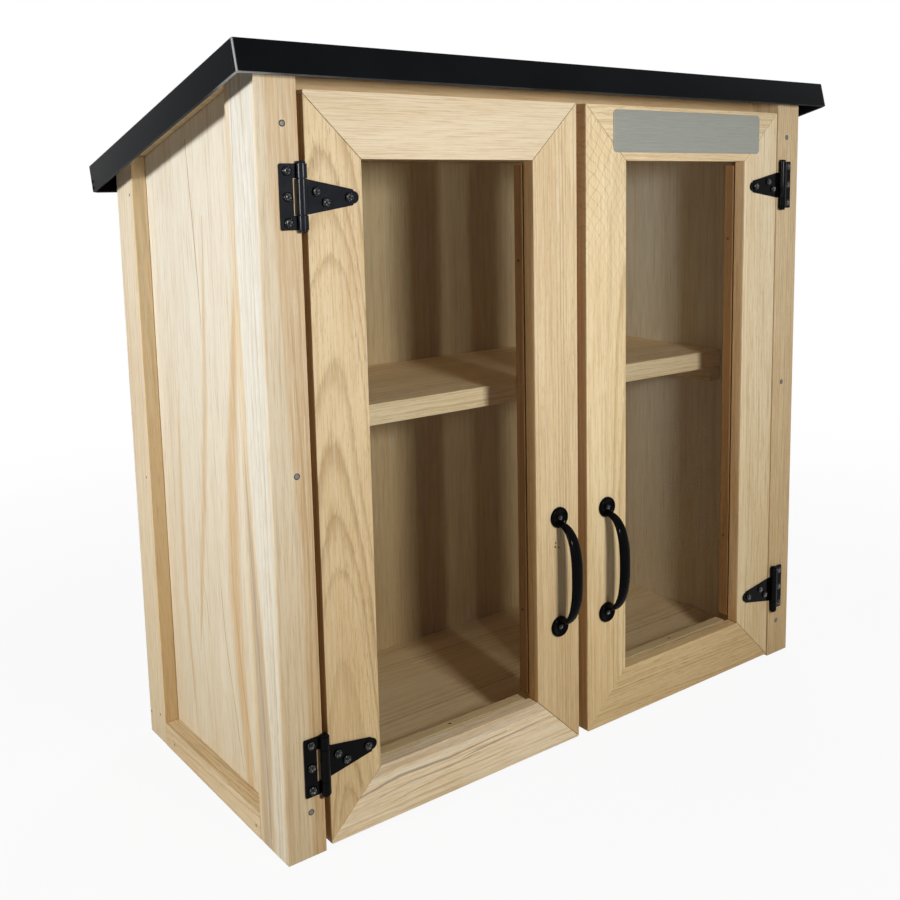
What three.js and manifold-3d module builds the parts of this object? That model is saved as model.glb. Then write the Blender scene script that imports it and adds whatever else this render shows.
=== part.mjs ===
// Street book exchange box: a pine cabinet with a pitched metal roof, a shelf and two glazed doors.
// Millimetres, +Z up. The front faces -Y, and the origin is the centre of the underside.
import * as THREE from "three";
import { mergeVertices } from "three/addons/utils/BufferGeometryUtils.js";
import Module from "manifold-3d";

const wasm = await Module();
wasm.setup();

// Cabinet
const BOX_WIDTH = 600;
const BOX_DEPTH = 281;
const POST_WIDTH = 32.4;
const FRONT_POST_DEPTH = 47.6;
const REAR_POST_DEPTH = 38.1;
const PANEL_THICKNESS = 12.5;
const PANEL_RECESS = 12.5;
const GROOVE_DEPTH = 6;
const BOTTOM_RAIL_HEIGHT = 21.8;
const BOARD_THICKNESS = 18.4;
const SHELF_TOP = 328;
const SHELF_SETBACK = 80;
const CLEAT_SIZE = 15;
const HEADER_OVERLAP = 35;
const JOINT_GAP = 0.3;
const CUT_OVERRUN = 10;

// Doors
const DOOR_HEIGHT = 577;
const DOOR_THICKNESS = 26.5;
const DOOR_RISE = 3.3;
const DOOR_POST_GAP = 2.1;
// The left door's hinge edge was planed back to fit, which leaves a wider gap beside its post
const HINGE_EDGE_PLANED = { left: 2.7, right: 0 };
const PLANED_MEMBERS = ["hinge_stile", "top_rail", "bottom_rail"];
const DOOR_MEETING_GAP = 11;
const DOOR_STOP_GAP = 7;
const MEMBER_WIDTH = 48.4;
const LIP_THICKNESS = 13.2;
const RABBET_WIDTH = 10;
const PANE_THICKNESS = 1.5;
const PANE_EDGE_CLEARANCE = 1;
const RETAINER_CORNER_GAP = 3.5;

// Roof
const ROOF_PITCH = THREE.MathUtils.degToRad(15);
const ROOF_HEIGHT_ABOVE_DOORS = 31;
const ROOF_FRONT_OVERHANG = 12.9;
const ROOF_REAR_OVERHANG = 9;
const ROOF_SIDE_OVERHANG = 20.4;
const ROOF_FLANGE = 24.4;
const ROOF_SHEET = 0.8;
const ROOF_BOARD_THICKNESS = 3.4;

// Tee hinges
const HINGE_SEAT = 0.1;
const HINGE_PLATE = 1.5;
const KNUCKLE_RADIUS = 3.8;
const PIN_CLEARANCE = 0.1;
const PIN_HEAD_RADIUS = 3.1;
const PIN_HEAD_HEIGHT = 1.8;
const PIN_HEAD_CLEARANCE = 0.15;
const LEAF_HEIGHT = 47.1;
const LEAF_REACH = 16.1;
const LEAF_SLOT = 1.9;
const MIDDLE_KNUCKLE = 25.6;
const KNUCKLE_GAP = 0.4;
const STRAP_ROOT = 25.2;
const STRAP_ROOT_REACH = 5.5;
const STRAP_NECK = 11.8;
const STRAP_NECK_REACH = 42.4;
const STRAP_TIP_NOTCH = 1.2;
const STRAP_REACH = 46.9;
const SCREW_HEAD_RADIUS = 3.6;
const SCREW_HEAD_HEIGHT = 2;
const LEAF_SCREW_REACH = 10.3;
const LEAF_SCREW_SPACING = 18.3;
const STRAP_SCREW_REACHES = [12, 19.6, 38.7];
const STRAP_SCREW_STAGGER = 3.8;
const HINGE_SHIFTS_FROM_GAP = { left: 1.35, right: 4.4 };
const LEFT_HINGES_FROM_ENDS = { top: 75.2, bottom: 70.1 };
const RIGHT_HINGES_FROM_ENDS = { top: 71.9, bottom: 73.3 };

// Pull handles
const HANDLE_CENTRES = 101.6;
const HANDLE_FOOT_RADIUS = 9.5;
const HANDLE_FOOT_HEIGHT = 3.2;
const HANDLE_SEAT = 0.1;
const HANDLE_PROJECTION = 25.4;
const HANDLE_SHIFT_INWARD = 0.8;
const GRIP_LENGTH = 90;
const GRIP_WIDTH = 12.4;
const GRIP_NECK_WIDTH = 6.5;
const GRIP_THICKNESS = 5.4;
const LEFT_HANDLE_RISE = 164.7;
const RIGHT_HANDLE_RISE = 162.6;

// Catches and name plate
const STRIKE_RADIUS = 9;
const STRIKE_THICKNESS = 1.2;
const MAGNET_RADIUS = 7;
const CATCH_CLEARANCE = 0.3;
const CATCH_FROM_EDGE = 70;
const CATCH_FROM_TOP = 17;
const NAME_PLATE_WIDTH = 199;
const NAME_PLATE_HEIGHT = 37.5;
const NAME_PLATE_THICKNESS = 1;
const NAME_PLATE_CORNER = 4.5;
const NAME_PLATE_FROM_TOP = 3.5;
const NAME_PLATE_SHIFT = 1.5;

// Facets on round work
const KNUCKLE_SIDES = 16;
const HEAD_SIDES = 10;
const FOOT_SIDES = 20;
const DISC_SIDES = 24;
const GRIP_SIDES = 10;
const GRIP_STEPS = 16;
const TIP_STEPS = 6;
const CORNER_STEPS = 4;

// Places worked out from the sizes above
const halfWidth = BOX_WIDTH / 2;
const frontFace = -BOX_DEPTH / 2;
const backFace = BOX_DEPTH / 2;
const postInside = halfWidth - POST_WIDTH;
const panelOutside = halfWidth - PANEL_RECESS;
const panelInside = panelOutside - PANEL_THICKNESS;
const frontPostBack = frontFace + FRONT_POST_DEPTH;
const rearPostFront = backFace - REAR_POST_DEPTH;
const backPanelOutside = backFace - PANEL_RECESS;
const backPanelInside = backPanelOutside - PANEL_THICKNESS;
const doorWidth = postInside - DOOR_POST_GAP - DOOR_MEETING_GAP / 2;
const doorEdge = postInside - DOOR_POST_GAP;
const doorTop = DOOR_RISE + DOOR_HEIGHT;
const stopFace = frontFace + DOOR_THICKNESS + DOOR_STOP_GAP;
const gapCentre = postInside - DOOR_POST_GAP / 2;
const knuckleCentre = -HINGE_SEAT - KNUCKLE_RADIUS;
const knuckleBore = KNUCKLE_RADIUS - HINGE_PLATE;
const pinRadius = knuckleBore - PIN_CLEARANCE;
const roofFrontEdge = frontFace - ROOF_FRONT_OVERHANG;
const roofFrontHeight = doorTop + ROOF_HEIGHT_ABOVE_DOORS;
const roofRun = ROOF_FRONT_OVERHANG + BOX_DEPTH + ROOF_REAR_OVERHANG;
const roofLength = roofRun / Math.cos(ROOF_PITCH);
const roofBoardTop = ROOF_SHEET + JOINT_GAP;
const roofBoardUnderside = roofBoardTop + ROOF_BOARD_THICKNESS;

// Height of the seat under the roof board, at a distance back along Y
function roofSeat(y) {
  const drop = (y - roofFrontEdge) * Math.tan(ROOF_PITCH);
  return roofFrontHeight - drop - (roofBoardUnderside + JOINT_GAP) / Math.cos(ROOF_PITCH);
}

// Reverses the triangles of an indexed surface
function turnedInsideOut(geometry) {
  const order = geometry.index.array;
  for (let i = 0; i < order.length; i += 3) {
    const first = order[i];
    order[i] = order[i + 1];
    order[i + 1] = first;
  }
  return geometry;
}

function signedVolume(geometry) {
  const corner = geometry.attributes.position;
  const order = geometry.index.array;
  const [a, b, c] = [new THREE.Vector3(), new THREE.Vector3(), new THREE.Vector3()];
  let total = 0;
  for (let i = 0; i < order.length; i += 3) {
    a.fromBufferAttribute(corner, order[i]);
    b.fromBufferAttribute(corner, order[i + 1]);
    c.fromBufferAttribute(corner, order[i + 2]);
    total += a.dot(b.cross(c));
  }
  return total / 6;
}

// One closed, outward-facing surface with shared vertices and no collapsed triangles
function closed(geometry) {
  const bare = geometry.clone();
  bare.deleteAttribute("normal");
  bare.deleteAttribute("uv");
  const merged = mergeVertices(bare);
  const order = merged.index.array;
  const kept = [];
  for (let i = 0; i < order.length; i += 3) {
    const [a, b, c] = [order[i], order[i + 1], order[i + 2]];
    if (a !== b && b !== c && c !== a) {
      kept.push(a, b, c);
    }
  }
  merged.setIndex(kept);
  return signedVolume(merged) < 0 ? turnedInsideOut(merged) : merged;
}

function toSolid(geometry) {
  const surface = closed(geometry);
  return new wasm.Manifold(new wasm.Mesh({
    numProp: 3,
    vertProperties: new Float32Array(surface.attributes.position.array),
    triVerts: new Uint32Array(surface.index.array),
  }));
}

function toGeometry(solid) {
  const mesh = solid.getMesh();
  const geometry = new THREE.BufferGeometry();
  geometry.setAttribute("position", new THREE.BufferAttribute(mesh.vertProperties, 3));
  geometry.setIndex(new THREE.BufferAttribute(mesh.triVerts, 1));
  return geometry;
}

function joined(first, ...others) {
  const add = (solid, geometry) => solid.add(toSolid(geometry));
  return toGeometry(others.reduce(add, toSolid(first)));
}

function cut(first, ...tools) {
  const subtract = (solid, geometry) => solid.subtract(toSolid(geometry));
  return toGeometry(tools.reduce(subtract, toSolid(first)));
}

function moved(geometry, x, y, z) {
  return geometry.clone().translate(x, y, z);
}

// The same piece for the other side of the box
function mirrored(geometry) {
  return closed(closed(geometry).scale(-1, 1, 1));
}

// A plain board between two corners
function board([x0, y0, z0], [x1, y1, z1]) {
  const box = new THREE.BoxGeometry(x1 - x0, y1 - y0, z1 - z0);
  return box.translate((x0 + x1) / 2, (y0 + y1) / 2, (z0 + z1) / 2);
}

function extruded(outline, depth) {
  return new THREE.ExtrudeGeometry(outline, { depth, bevelEnabled: false, curveSegments: CORNER_STEPS });
}

function outlineOf(points) {
  return new THREE.Shape(points.map(([x, y]) => new THREE.Vector2(x, y)));
}

// An outline in plan, drawn in X and Y and raised from one height to another
function planBoard(points, bottom, top) {
  return extruded(outlineOf(points), top - bottom).translate(0, 0, bottom);
}

// An outline drawn in X and Z, standing forward from a face at y = back
function facePlate(outline, back, thickness) {
  const axes = new THREE.Matrix4().makeBasis(
    new THREE.Vector3(1, 0, 0),
    new THREE.Vector3(0, 0, 1),
    new THREE.Vector3(0, -1, 0),
  );
  return extruded(outline, thickness).applyMatrix4(axes).translate(0, back, 0);
}

// An upright board whose top follows the pitch of the roof
function underRoof(x0, x1, y0, y1) {
  const side = outlineOf([[y0, 0], [y1, 0], [y1, roofSeat(y1)], [y0, roofSeat(y0)]]);
  const axes = new THREE.Matrix4().makeBasis(
    new THREE.Vector3(0, 1, 0),
    new THREE.Vector3(0, 0, 1),
    new THREE.Vector3(1, 0, 0),
  );
  return extruded(side, x1 - x0).applyMatrix4(axes).translate(x0, 0, 0);
}

// A turned shape on the Z axis, from radius and height pairs
function turned(profile, sides) {
  const points = profile.map(([radius, height]) => new THREE.Vector2(radius, height));
  return new THREE.LatheGeometry(points, sides).rotateX(Math.PI / 2);
}

// A turned shape that stands forward, towards -Y
function turnedForward(profile, sides) {
  return turned(profile, sides).rotateX(Math.PI / 2);
}

// Finishes
const pine = { color: 0xd9bd90, roughness: 0.7, metalness: 0 };
const palePine = { color: 0xe8d8b8, roughness: 0.7, metalness: 0 };
const plywood = { color: 0xb99a68, roughness: 0.8, metalness: 0 };
const roofMetal = { color: 0x1c1f20, roughness: 0.4, metalness: 0.6 };
const blackSteel = { color: 0x0c0c0d, roughness: 0.25, metalness: 0.5 };
const clearSheet = { color: 0xe8eef0, roughness: 0.05, metalness: 0, transparent: true, opacity: 0.25 };
const zincSteel = { color: 0xa8aaac, roughness: 0.4, metalness: 0.9 };
const brushedPlate = { color: 0x9a9c90, roughness: 0.45, metalness: 0.8 };

function piece(name, geometry, finish) {
  const faceted = geometry.index ? geometry.toNonIndexed() : geometry;
  faceted.computeVertexNormals();
  const mesh = new THREE.Mesh(faceted, new THREE.MeshStandardMaterial(finish));
  mesh.name = name;
  return mesh;
}

function pair(name, leftGeometry, finish) {
  const rightGeometry = mirrored(leftGeometry);
  return [piece(name + "_left", leftGeometry, finish), piece(name + "_right", rightGeometry, finish)];
}

// Front corner post, grooved down its back for the side panel
function frontPost() {
  const post = underRoof(-halfWidth, -postInside, frontFace, frontPostBack);
  const groove = board(
    [-panelOutside - JOINT_GAP, frontPostBack - GROOVE_DEPTH, -CUT_OVERRUN],
    [-panelInside + JOINT_GAP, frontPostBack + CUT_OVERRUN, roofFrontHeight],
  );
  return cut(post, groove);
}

// Rear corner post, grooved for the side panel and for the back panel
function rearPost() {
  const post = underRoof(-halfWidth, -postInside, rearPostFront, backFace);
  const sideGroove = board(
    [-panelOutside - JOINT_GAP, rearPostFront - CUT_OVERRUN, -CUT_OVERRUN],
    [-panelInside + JOINT_GAP, rearPostFront + GROOVE_DEPTH, roofFrontHeight],
  );
  const backGroove = board(
    [-postInside - GROOVE_DEPTH, backPanelInside - JOINT_GAP, -CUT_OVERRUN],
    [-postInside + CUT_OVERRUN, backPanelOutside + JOINT_GAP, roofFrontHeight],
  );
  return cut(post, sideGroove, backGroove);
}

function sidePanel() {
  const front = frontPostBack - GROOVE_DEPTH + JOINT_GAP;
  const back = rearPostFront + GROOVE_DEPTH - JOINT_GAP;
  return underRoof(-panelOutside, -panelInside, front, back);
}

function sideBottomRail() {
  return board(
    [-halfWidth, frontPostBack + JOINT_GAP, 0],
    [-panelOutside - JOINT_GAP, rearPostFront - JOINT_GAP, BOTTOM_RAIL_HEIGHT],
  );
}

function backPanel() {
  const reach = postInside + GROOVE_DEPTH - JOINT_GAP;
  return underRoof(-reach, reach, backPanelInside, backPanelOutside);
}

function backBottomRail() {
  const reach = postInside - JOINT_GAP;
  return board([-reach, backPanelOutside + JOINT_GAP, 0], [reach, backFace, BOTTOM_RAIL_HEIGHT]);
}

// The floor and the shelf are notched round the posts, and fill the box from panel to panel
const boardReach = panelInside - JOINT_GAP;
const boardNeck = postInside - JOINT_GAP;
const boardBack = backPanelInside - JOINT_GAP;
const rearNotch = rearPostFront - JOINT_GAP;
const rearOutline = [
  [boardReach, rearNotch],
  [boardNeck, rearNotch],
  [boardNeck, boardBack],
  [-boardNeck, boardBack],
  [-boardNeck, rearNotch],
  [-boardReach, rearNotch],
];

function floorBoard() {
  const frontNotch = frontPostBack + JOINT_GAP;
  const frontOutline = [
    [-boardReach, frontNotch],
    [-boardNeck, frontNotch],
    [-boardNeck, stopFace],
    [boardNeck, stopFace],
    [boardNeck, frontNotch],
    [boardReach, frontNotch],
  ];
  return planBoard([...frontOutline, ...rearOutline], 0, BOARD_THICKNESS);
}

const shelfFront = frontFace + SHELF_SETBACK;
const shelfUnderside = SHELF_TOP - BOARD_THICKNESS;

function shelfBoard() {
  const frontOutline = [[-boardReach, shelfFront], [boardReach, shelfFront]];
  return planBoard([...frontOutline, ...rearOutline], shelfUnderside, SHELF_TOP);
}

function shelfCleat() {
  const top = shelfUnderside - JOINT_GAP;
  return board([-boardReach, shelfFront, top - CLEAT_SIZE], [-boardReach + CLEAT_SIZE, rearNotch, top]);
}

// The rail above the doors, which also stops them
function headerRail() {
  const rail = underRoof(-boardNeck, boardNeck, stopFace, frontPostBack);
  const below = board(
    [-halfWidth, frontFace, -CUT_OVERRUN],
    [halfWidth, backFace, doorTop - HEADER_OVERLAP],
  );
  return cut(rail, below);
}

// The roof is built level, with its front top edge on the origin, and tilted by its group
const roofHalfWidth = halfWidth + ROOF_SIDE_OVERHANG;

function roofCover() {
  const folded = board([-roofHalfWidth, 0, -ROOF_FLANGE], [roofHalfWidth, roofLength, 0]);
  const inside = board(
    [-roofHalfWidth + ROOF_SHEET, ROOF_SHEET, -ROOF_FLANGE - CUT_OVERRUN],
    [roofHalfWidth - ROOF_SHEET, roofLength - ROOF_SHEET, -ROOF_SHEET],
  );
  return cut(folded, inside);
}

function roofBoard() {
  const reach = roofHalfWidth - roofBoardTop;
  return board(
    [-reach, roofBoardTop, -roofBoardUnderside],
    [reach, roofLength - roofBoardTop, -roofBoardTop],
  );
}

function roof() {
  const group = new THREE.Group();
  group.position.set(0, roofFrontEdge, roofFrontHeight);
  group.rotation.x = -ROOF_PITCH;
  group.add(piece("roof_cover", roofCover(), roofMetal));
  group.add(piece("roof_board", roofBoard(), plywood));
  return group;
}

// A mitred door member: its outer edge at x = 0, its front at y = 0, and its length along Z
function mitredMember(length) {
  const section = outlineOf([
    [0, 0],
    [MEMBER_WIDTH, 0],
    [MEMBER_WIDTH, LIP_THICKNESS],
    [MEMBER_WIDTH - RABBET_WIDTH, LIP_THICKNESS],
    [MEMBER_WIDTH - RABBET_WIDTH, DOOR_THICKNESS],
    [0, DOOR_THICKNESS],
  ]);
  const member = closed(extruded(section, 1));
  const place = member.attributes.position;
  const mitreGap = JOINT_GAP / Math.SQRT2;
  for (let i = 0; i < place.count; i += 1) {
    const inset = place.getX(i) + mitreGap;
    place.setZ(i, THREE.MathUtils.lerp(inset, length - inset, place.getZ(i)));
  }
  return member;
}

function turnedMember(member, xAxis, zAxis, x, z) {
  const axes = new THREE.Matrix4().makeBasis(xAxis, new THREE.Vector3(0, 1, 0), zAxis);
  return closed(member.applyMatrix4(axes).translate(x, 0, z));
}

// The wood, pane and retainers of a door whose hinge edge is at x = 0 and whose underside is at z = 0
function doorParts() {
  const [right, left] = [new THREE.Vector3(1, 0, 0), new THREE.Vector3(-1, 0, 0)];
  const [upward, down] = [new THREE.Vector3(0, 0, 1), new THREE.Vector3(0, 0, -1)];
  const rabbetEdge = MEMBER_WIDTH - RABBET_WIDTH;
  const paneEdge = rabbetEdge + PANE_EDGE_CLEARANCE;
  const paneFront = LIP_THICKNESS + JOINT_GAP;
  const retainerFront = paneFront + PANE_THICKNESS + JOINT_GAP;
  const stripEdge = rabbetEdge + JOINT_GAP;
  const stripStart = MEMBER_WIDTH + RETAINER_CORNER_GAP;
  const hingeSideRetainer = board(
    [stripEdge, retainerFront, stripStart],
    [MEMBER_WIDTH, DOOR_THICKNESS, DOOR_HEIGHT - stripStart],
  );
  const bottomRetainer = board(
    [stripStart, retainerFront, stripEdge],
    [doorWidth - stripStart, DOOR_THICKNESS, MEMBER_WIDTH],
  );
  return {
    hinge_stile: [turnedMember(mitredMember(DOOR_HEIGHT), right, upward, 0, 0), pine],
    handle_stile: [turnedMember(mitredMember(DOOR_HEIGHT), left, upward, doorWidth, 0), pine],
    bottom_rail: [turnedMember(mitredMember(doorWidth), upward, right, 0, 0), pine],
    top_rail: [turnedMember(mitredMember(doorWidth), down, right, 0, DOOR_HEIGHT), pine],
    pane: [
      board(
        [paneEdge, paneFront, paneEdge],
        [doorWidth - paneEdge, paneFront + PANE_THICKNESS, DOOR_HEIGHT - paneEdge],
      ),
      clearSheet,
    ],
    hinge_side_retainer: [hingeSideRetainer, pine],
    handle_side_retainer: [moved(mirrored(hingeSideRetainer), doorWidth, 0, 0), pine],
    bottom_retainer: [bottomRetainer, pine],
    top_retainer: [moved(bottomRetainer, 0, 0, DOOR_HEIGHT - MEMBER_WIDTH - stripEdge), pine],
  };
}

// A door member with its hinge edge planed back
function planed(geometry, depth) {
  if (depth === 0) {
    return geometry;
  }
  const shaving = board(
    [-CUT_OVERRUN, -CUT_OVERRUN, -CUT_OVERRUN],
    [depth, DOOR_THICKNESS + CUT_OVERRUN, DOOR_HEIGHT + CUT_OVERRUN],
  );
  return cut(geometry, shaving);
}

// A pan head standing on a plate at y = back
function screwHead(x, back, z) {
  const dome = [
    [0, -HINGE_PLATE / 2],
    [SCREW_HEAD_RADIUS, -HINGE_PLATE / 2],
    [SCREW_HEAD_RADIUS, SCREW_HEAD_HEIGHT / 2],
    [SCREW_HEAD_RADIUS * 3 / 4, SCREW_HEAD_HEIGHT],
    [0, SCREW_HEAD_HEIGHT],
  ];
  return turnedForward(dome, HEAD_SIDES).translate(x, back, z);
}

function knuckle(bottom, top) {
  const corners = [
    [knuckleBore, bottom],
    [KNUCKLE_RADIUS, bottom],
    [KNUCKLE_RADIUS, top],
    [knuckleBore, top],
  ];
  return turned([...corners, corners[0]], KNUCKLE_SIDES).translate(0, knuckleCentre, 0);
}

const plateFront = -HINGE_SEAT - HINGE_PLATE;

// The fixed half of a tee hinge, round a pin at x = 0 and on a face at y = 0
function hingeLeaf() {
  const end = LEAF_HEIGHT / 2;
  const notch = MIDDLE_KNUCKLE / 2 + KNUCKLE_GAP;
  const slotEdge = KNUCKLE_RADIUS + LEAF_SLOT;
  const outline = outlineOf([
    [-LEAF_REACH, -end],
    [0, -end],
    [0, -notch],
    [-slotEdge, -notch],
    [-slotEdge, notch],
    [0, notch],
    [0, end],
    [-LEAF_REACH, end],
  ]);
  const plate = facePlate(outline, -HINGE_SEAT, HINGE_PLATE);
  const heights = [-LEAF_SCREW_SPACING, 0, LEAF_SCREW_SPACING];
  const heads = heights.map((height) => screwHead(-LEAF_SCREW_REACH, plateFront, height));
  return joined(plate, knuckle(-end, -notch), knuckle(notch, end), ...heads);
}

// The moving half: a tapered strap with a notched, rounded tip
function hingeStrap() {
  const root = STRAP_ROOT / 2;
  const neck = STRAP_NECK / 2;
  const tip = neck - STRAP_TIP_NOTCH;
  const tipLength = STRAP_REACH - STRAP_NECK_REACH;
  const outline = new THREE.Shape();
  outline.moveTo(0, -root);
  outline.lineTo(STRAP_ROOT_REACH, -root);
  outline.lineTo(STRAP_NECK_REACH, -neck);
  for (let step = 0; step <= TIP_STEPS; step += 1) {
    const turn = Math.PI * (step / TIP_STEPS - 1 / 2);
    outline.lineTo(STRAP_NECK_REACH + tipLength * Math.cos(turn), tip * Math.sin(turn));
  }
  outline.lineTo(STRAP_NECK_REACH, neck);
  outline.lineTo(STRAP_ROOT_REACH, root);
  outline.lineTo(0, root);
  const plate = facePlate(outline, -HINGE_SEAT, HINGE_PLATE);
  const heights = [STRAP_SCREW_STAGGER, -STRAP_SCREW_STAGGER, 0];
  const heads = STRAP_SCREW_REACHES.map((reach, i) => screwHead(reach, plateFront, heights[i]));
  return joined(plate, knuckle(-MIDDLE_KNUCKLE / 2, MIDDLE_KNUCKLE / 2), ...heads);
}

// A pin with a domed head at each end
function hingePin() {
  const seat = LEAF_HEIGHT / 2 + PIN_HEAD_CLEARANCE;
  const upper = [
    [pinRadius, seat],
    [PIN_HEAD_RADIUS, seat],
    [PIN_HEAD_RADIUS, seat + PIN_HEAD_HEIGHT / 2],
    [PIN_HEAD_RADIUS * 2 / 3, seat + PIN_HEAD_HEIGHT],
    [0, seat + PIN_HEAD_HEIGHT],
  ];
  const lower = upper.map(([radius, height]) => [radius, -height]).reverse();
  return turned([...lower, ...upper], KNUCKLE_SIDES).translate(0, knuckleCentre, 0);
}

// A bowed pull: two dished feet and a flat grip, on a face at y = 0 and centred on z = 0
function pullHandle() {
  const foot = [
    [0, HANDLE_SEAT],
    [HANDLE_FOOT_RADIUS, HANDLE_SEAT],
    [HANDLE_FOOT_RADIUS, HANDLE_FOOT_HEIGHT / 2],
    [HANDLE_FOOT_RADIUS - HANDLE_FOOT_HEIGHT / 4, HANDLE_FOOT_HEIGHT],
    [SCREW_HEAD_RADIUS, HANDLE_FOOT_HEIGHT * 2 / 3],
    [SCREW_HEAD_RADIUS, HANDLE_FOOT_HEIGHT],
    [SCREW_HEAD_RADIUS * 3 / 4, HANDLE_FOOT_HEIGHT + SCREW_HEAD_HEIGHT / 3],
    [0, HANDLE_FOOT_HEIGHT + SCREW_HEAD_HEIGHT / 3],
  ];
  const footGeometry = turnedForward(foot, FOOT_SIDES);
  const upperFoot = moved(footGeometry, 0, 0, HANDLE_CENTRES / 2);
  const lowerFoot = moved(footGeometry, 0, 0, -HANDLE_CENTRES / 2);
  return joined(gripGeometry(), upperFoot, lowerFoot);
}

// The grip's centre line is a flattened arch that rises from inside each foot
function gripCentre(share) {
  const archPowerShare = 4 / 5;
  const turn = Math.PI * share;
  const along = Math.sign(Math.cos(turn)) * Math.abs(Math.cos(turn)) ** archPowerShare;
  const out = Math.sin(turn) ** archPowerShare;
  const start = HANDLE_FOOT_HEIGHT / 2;
  return new THREE.Vector3(0, -start - (HANDLE_PROJECTION - start) * out, GRIP_LENGTH / 2 * along);
}

function gripGeometry() {
  const profile = [new THREE.Vector2(0, 0)];
  for (let step = 0; step <= GRIP_STEPS; step += 1) {
    profile.push(new THREE.Vector2(1, step / GRIP_STEPS));
  }
  profile.push(new THREE.Vector2(0, 1));
  const spindle = closed(new THREE.LatheGeometry(profile, GRIP_SIDES));
  const place = spindle.attributes.position;
  const nudgeShare = 1 / 1000;
  for (let i = 0; i < place.count; i += 1) {
    const share = place.getY(i);
    const centre = gripCentre(share);
    const ahead = gripCentre(Math.min(share + nudgeShare, 1));
    const behind = gripCentre(Math.max(share - nudgeShare, 0));
    const outward = ahead.sub(behind).cross(new THREE.Vector3(1, 0, 0)).normalize();
    const width = THREE.MathUtils.lerp(GRIP_NECK_WIDTH, GRIP_WIDTH, Math.sin(Math.PI * share));
    const across = new THREE.Vector3(place.getX(i) * width / 2, 0, 0);
    const through = outward.multiplyScalar(place.getZ(i) * GRIP_THICKNESS / 2);
    const point = centre.add(across).add(through);
    place.setXYZ(i, point.x, point.y, point.z);
  }
  return closed(spindle);
}

function disc(radius, back, thickness) {
  return turnedForward([[0, 0], [radius, 0], [radius, thickness], [0, thickness]], DISC_SIDES)
    .translate(0, back, 0);
}

// A magnet on the header for each door, and the strike that meets it on the back of the door
const magnetFront = frontFace + DOOR_THICKNESS + STRIKE_THICKNESS + CATCH_CLEARANCE;
const magnetBack = stopFace - HINGE_SEAT;
const catchHeight = doorTop - CATCH_FROM_TOP;
const catchReach = DOOR_MEETING_GAP / 2 + CATCH_FROM_EDGE;

function catchMagnet() {
  const magnet = disc(MAGNET_RADIUS, magnetBack, magnetBack - magnetFront);
  return moved(magnet, -catchReach, 0, catchHeight);
}

function strikePlate() {
  const back = DOOR_THICKNESS + HINGE_SEAT + STRIKE_THICKNESS;
  const strike = disc(STRIKE_RADIUS, back, STRIKE_THICKNESS);
  return moved(strike, doorWidth - CATCH_FROM_EDGE, 0, DOOR_HEIGHT - CATCH_FROM_TOP);
}

function namePlate() {
  const [right, top] = [NAME_PLATE_WIDTH / 2, NAME_PLATE_HEIGHT / 2];
  const [innerRight, innerTop] = [right - NAME_PLATE_CORNER, top - NAME_PLATE_CORNER];
  const outline = new THREE.Shape();
  outline.absarc(innerRight, innerTop, NAME_PLATE_CORNER, 0, Math.PI / 2);
  outline.absarc(-innerRight, innerTop, NAME_PLATE_CORNER, Math.PI / 2, Math.PI);
  outline.absarc(-innerRight, -innerTop, NAME_PLATE_CORNER, Math.PI, Math.PI * 3 / 2);
  outline.absarc(innerRight, -innerTop, NAME_PLATE_CORNER, Math.PI * 3 / 2, Math.PI * 2);
  return facePlate(outline, -HINGE_SEAT, NAME_PLATE_THICKNESS);
}

// A hinge set on the front of the box: the left one as drawn, the right one turned half round
function placeHinge(group, side, height) {
  const outwardSign = side === "left" ? -1 : 1;
  const reach = gapCentre + HINGE_SHIFTS_FROM_GAP[side];
  group.position.set(outwardSign * reach, frontFace, height);
  group.rotation.y = side === "left" ? 0 : Math.PI;
  return group;
}

// A door with its straps, pull and strike, and the fixed halves of its hinges
function doorGroup(side, hingesFromEnds, handleRise) {
  const group = new THREE.Group();
  const outwardSign = side === "left" ? -1 : 1;
  const sided = (geometry) => (side === "left" ? geometry : mirrored(geometry));
  const wood = new THREE.Group();
  wood.position.set(outwardSign * doorEdge, frontFace, DOOR_RISE);
  for (const [name, [geometry, finish]] of Object.entries(doorParts())) {
    const depth = PLANED_MEMBERS.includes(name) ? HINGE_EDGE_PLANED[side] : 0;
    wood.add(piece(side + "_door_" + name, sided(planed(geometry, depth)), finish));
  }
  wood.add(piece(side + "_door_strike_plate", sided(strikePlate()), zincSteel));
  const handle = piece(side + "_door_handle", pullHandle(), blackSteel);
  const handleReach = doorWidth - MEMBER_WIDTH / 2 + HANDLE_SHIFT_INWARD;
  handle.position.set(-outwardSign * handleReach, 0, handleRise);
  wood.add(handle);
  group.add(wood);
  const heights = { top: doorTop - hingesFromEnds.top, bottom: DOOR_RISE + hingesFromEnds.bottom };
  for (const [level, height] of Object.entries(heights)) {
    const hinge = placeHinge(new THREE.Group(), side, height);
    const prefix = side + "_" + level + "_hinge_";
    hinge.add(piece(prefix + "strap", hingeStrap(), blackSteel));
    hinge.add(piece(prefix + "leaf", hingeLeaf(), blackSteel));
    hinge.add(piece(prefix + "pin", hingePin(), blackSteel));
    group.add(hinge);
  }
  return group;
}

function cabinet() {
  const group = new THREE.Group();
  group.add(...pair("front_post", frontPost(), pine));
  group.add(...pair("rear_post", rearPost(), palePine));
  group.add(...pair("side_panel", sidePanel(), palePine));
  group.add(...pair("side_bottom_rail", sideBottomRail(), palePine));
  group.add(...pair("shelf_cleat", shelfCleat(), pine));
  group.add(...pair("catch_magnet", catchMagnet(), zincSteel));
  group.add(piece("back_panel", backPanel(), palePine));
  group.add(piece("back_bottom_rail", backBottomRail(), palePine));
  group.add(piece("floor_board", floorBoard(), pine));
  group.add(piece("shelf_board", shelfBoard(), pine));
  group.add(piece("header_rail", headerRail(), pine));
  return group;
}

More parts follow.
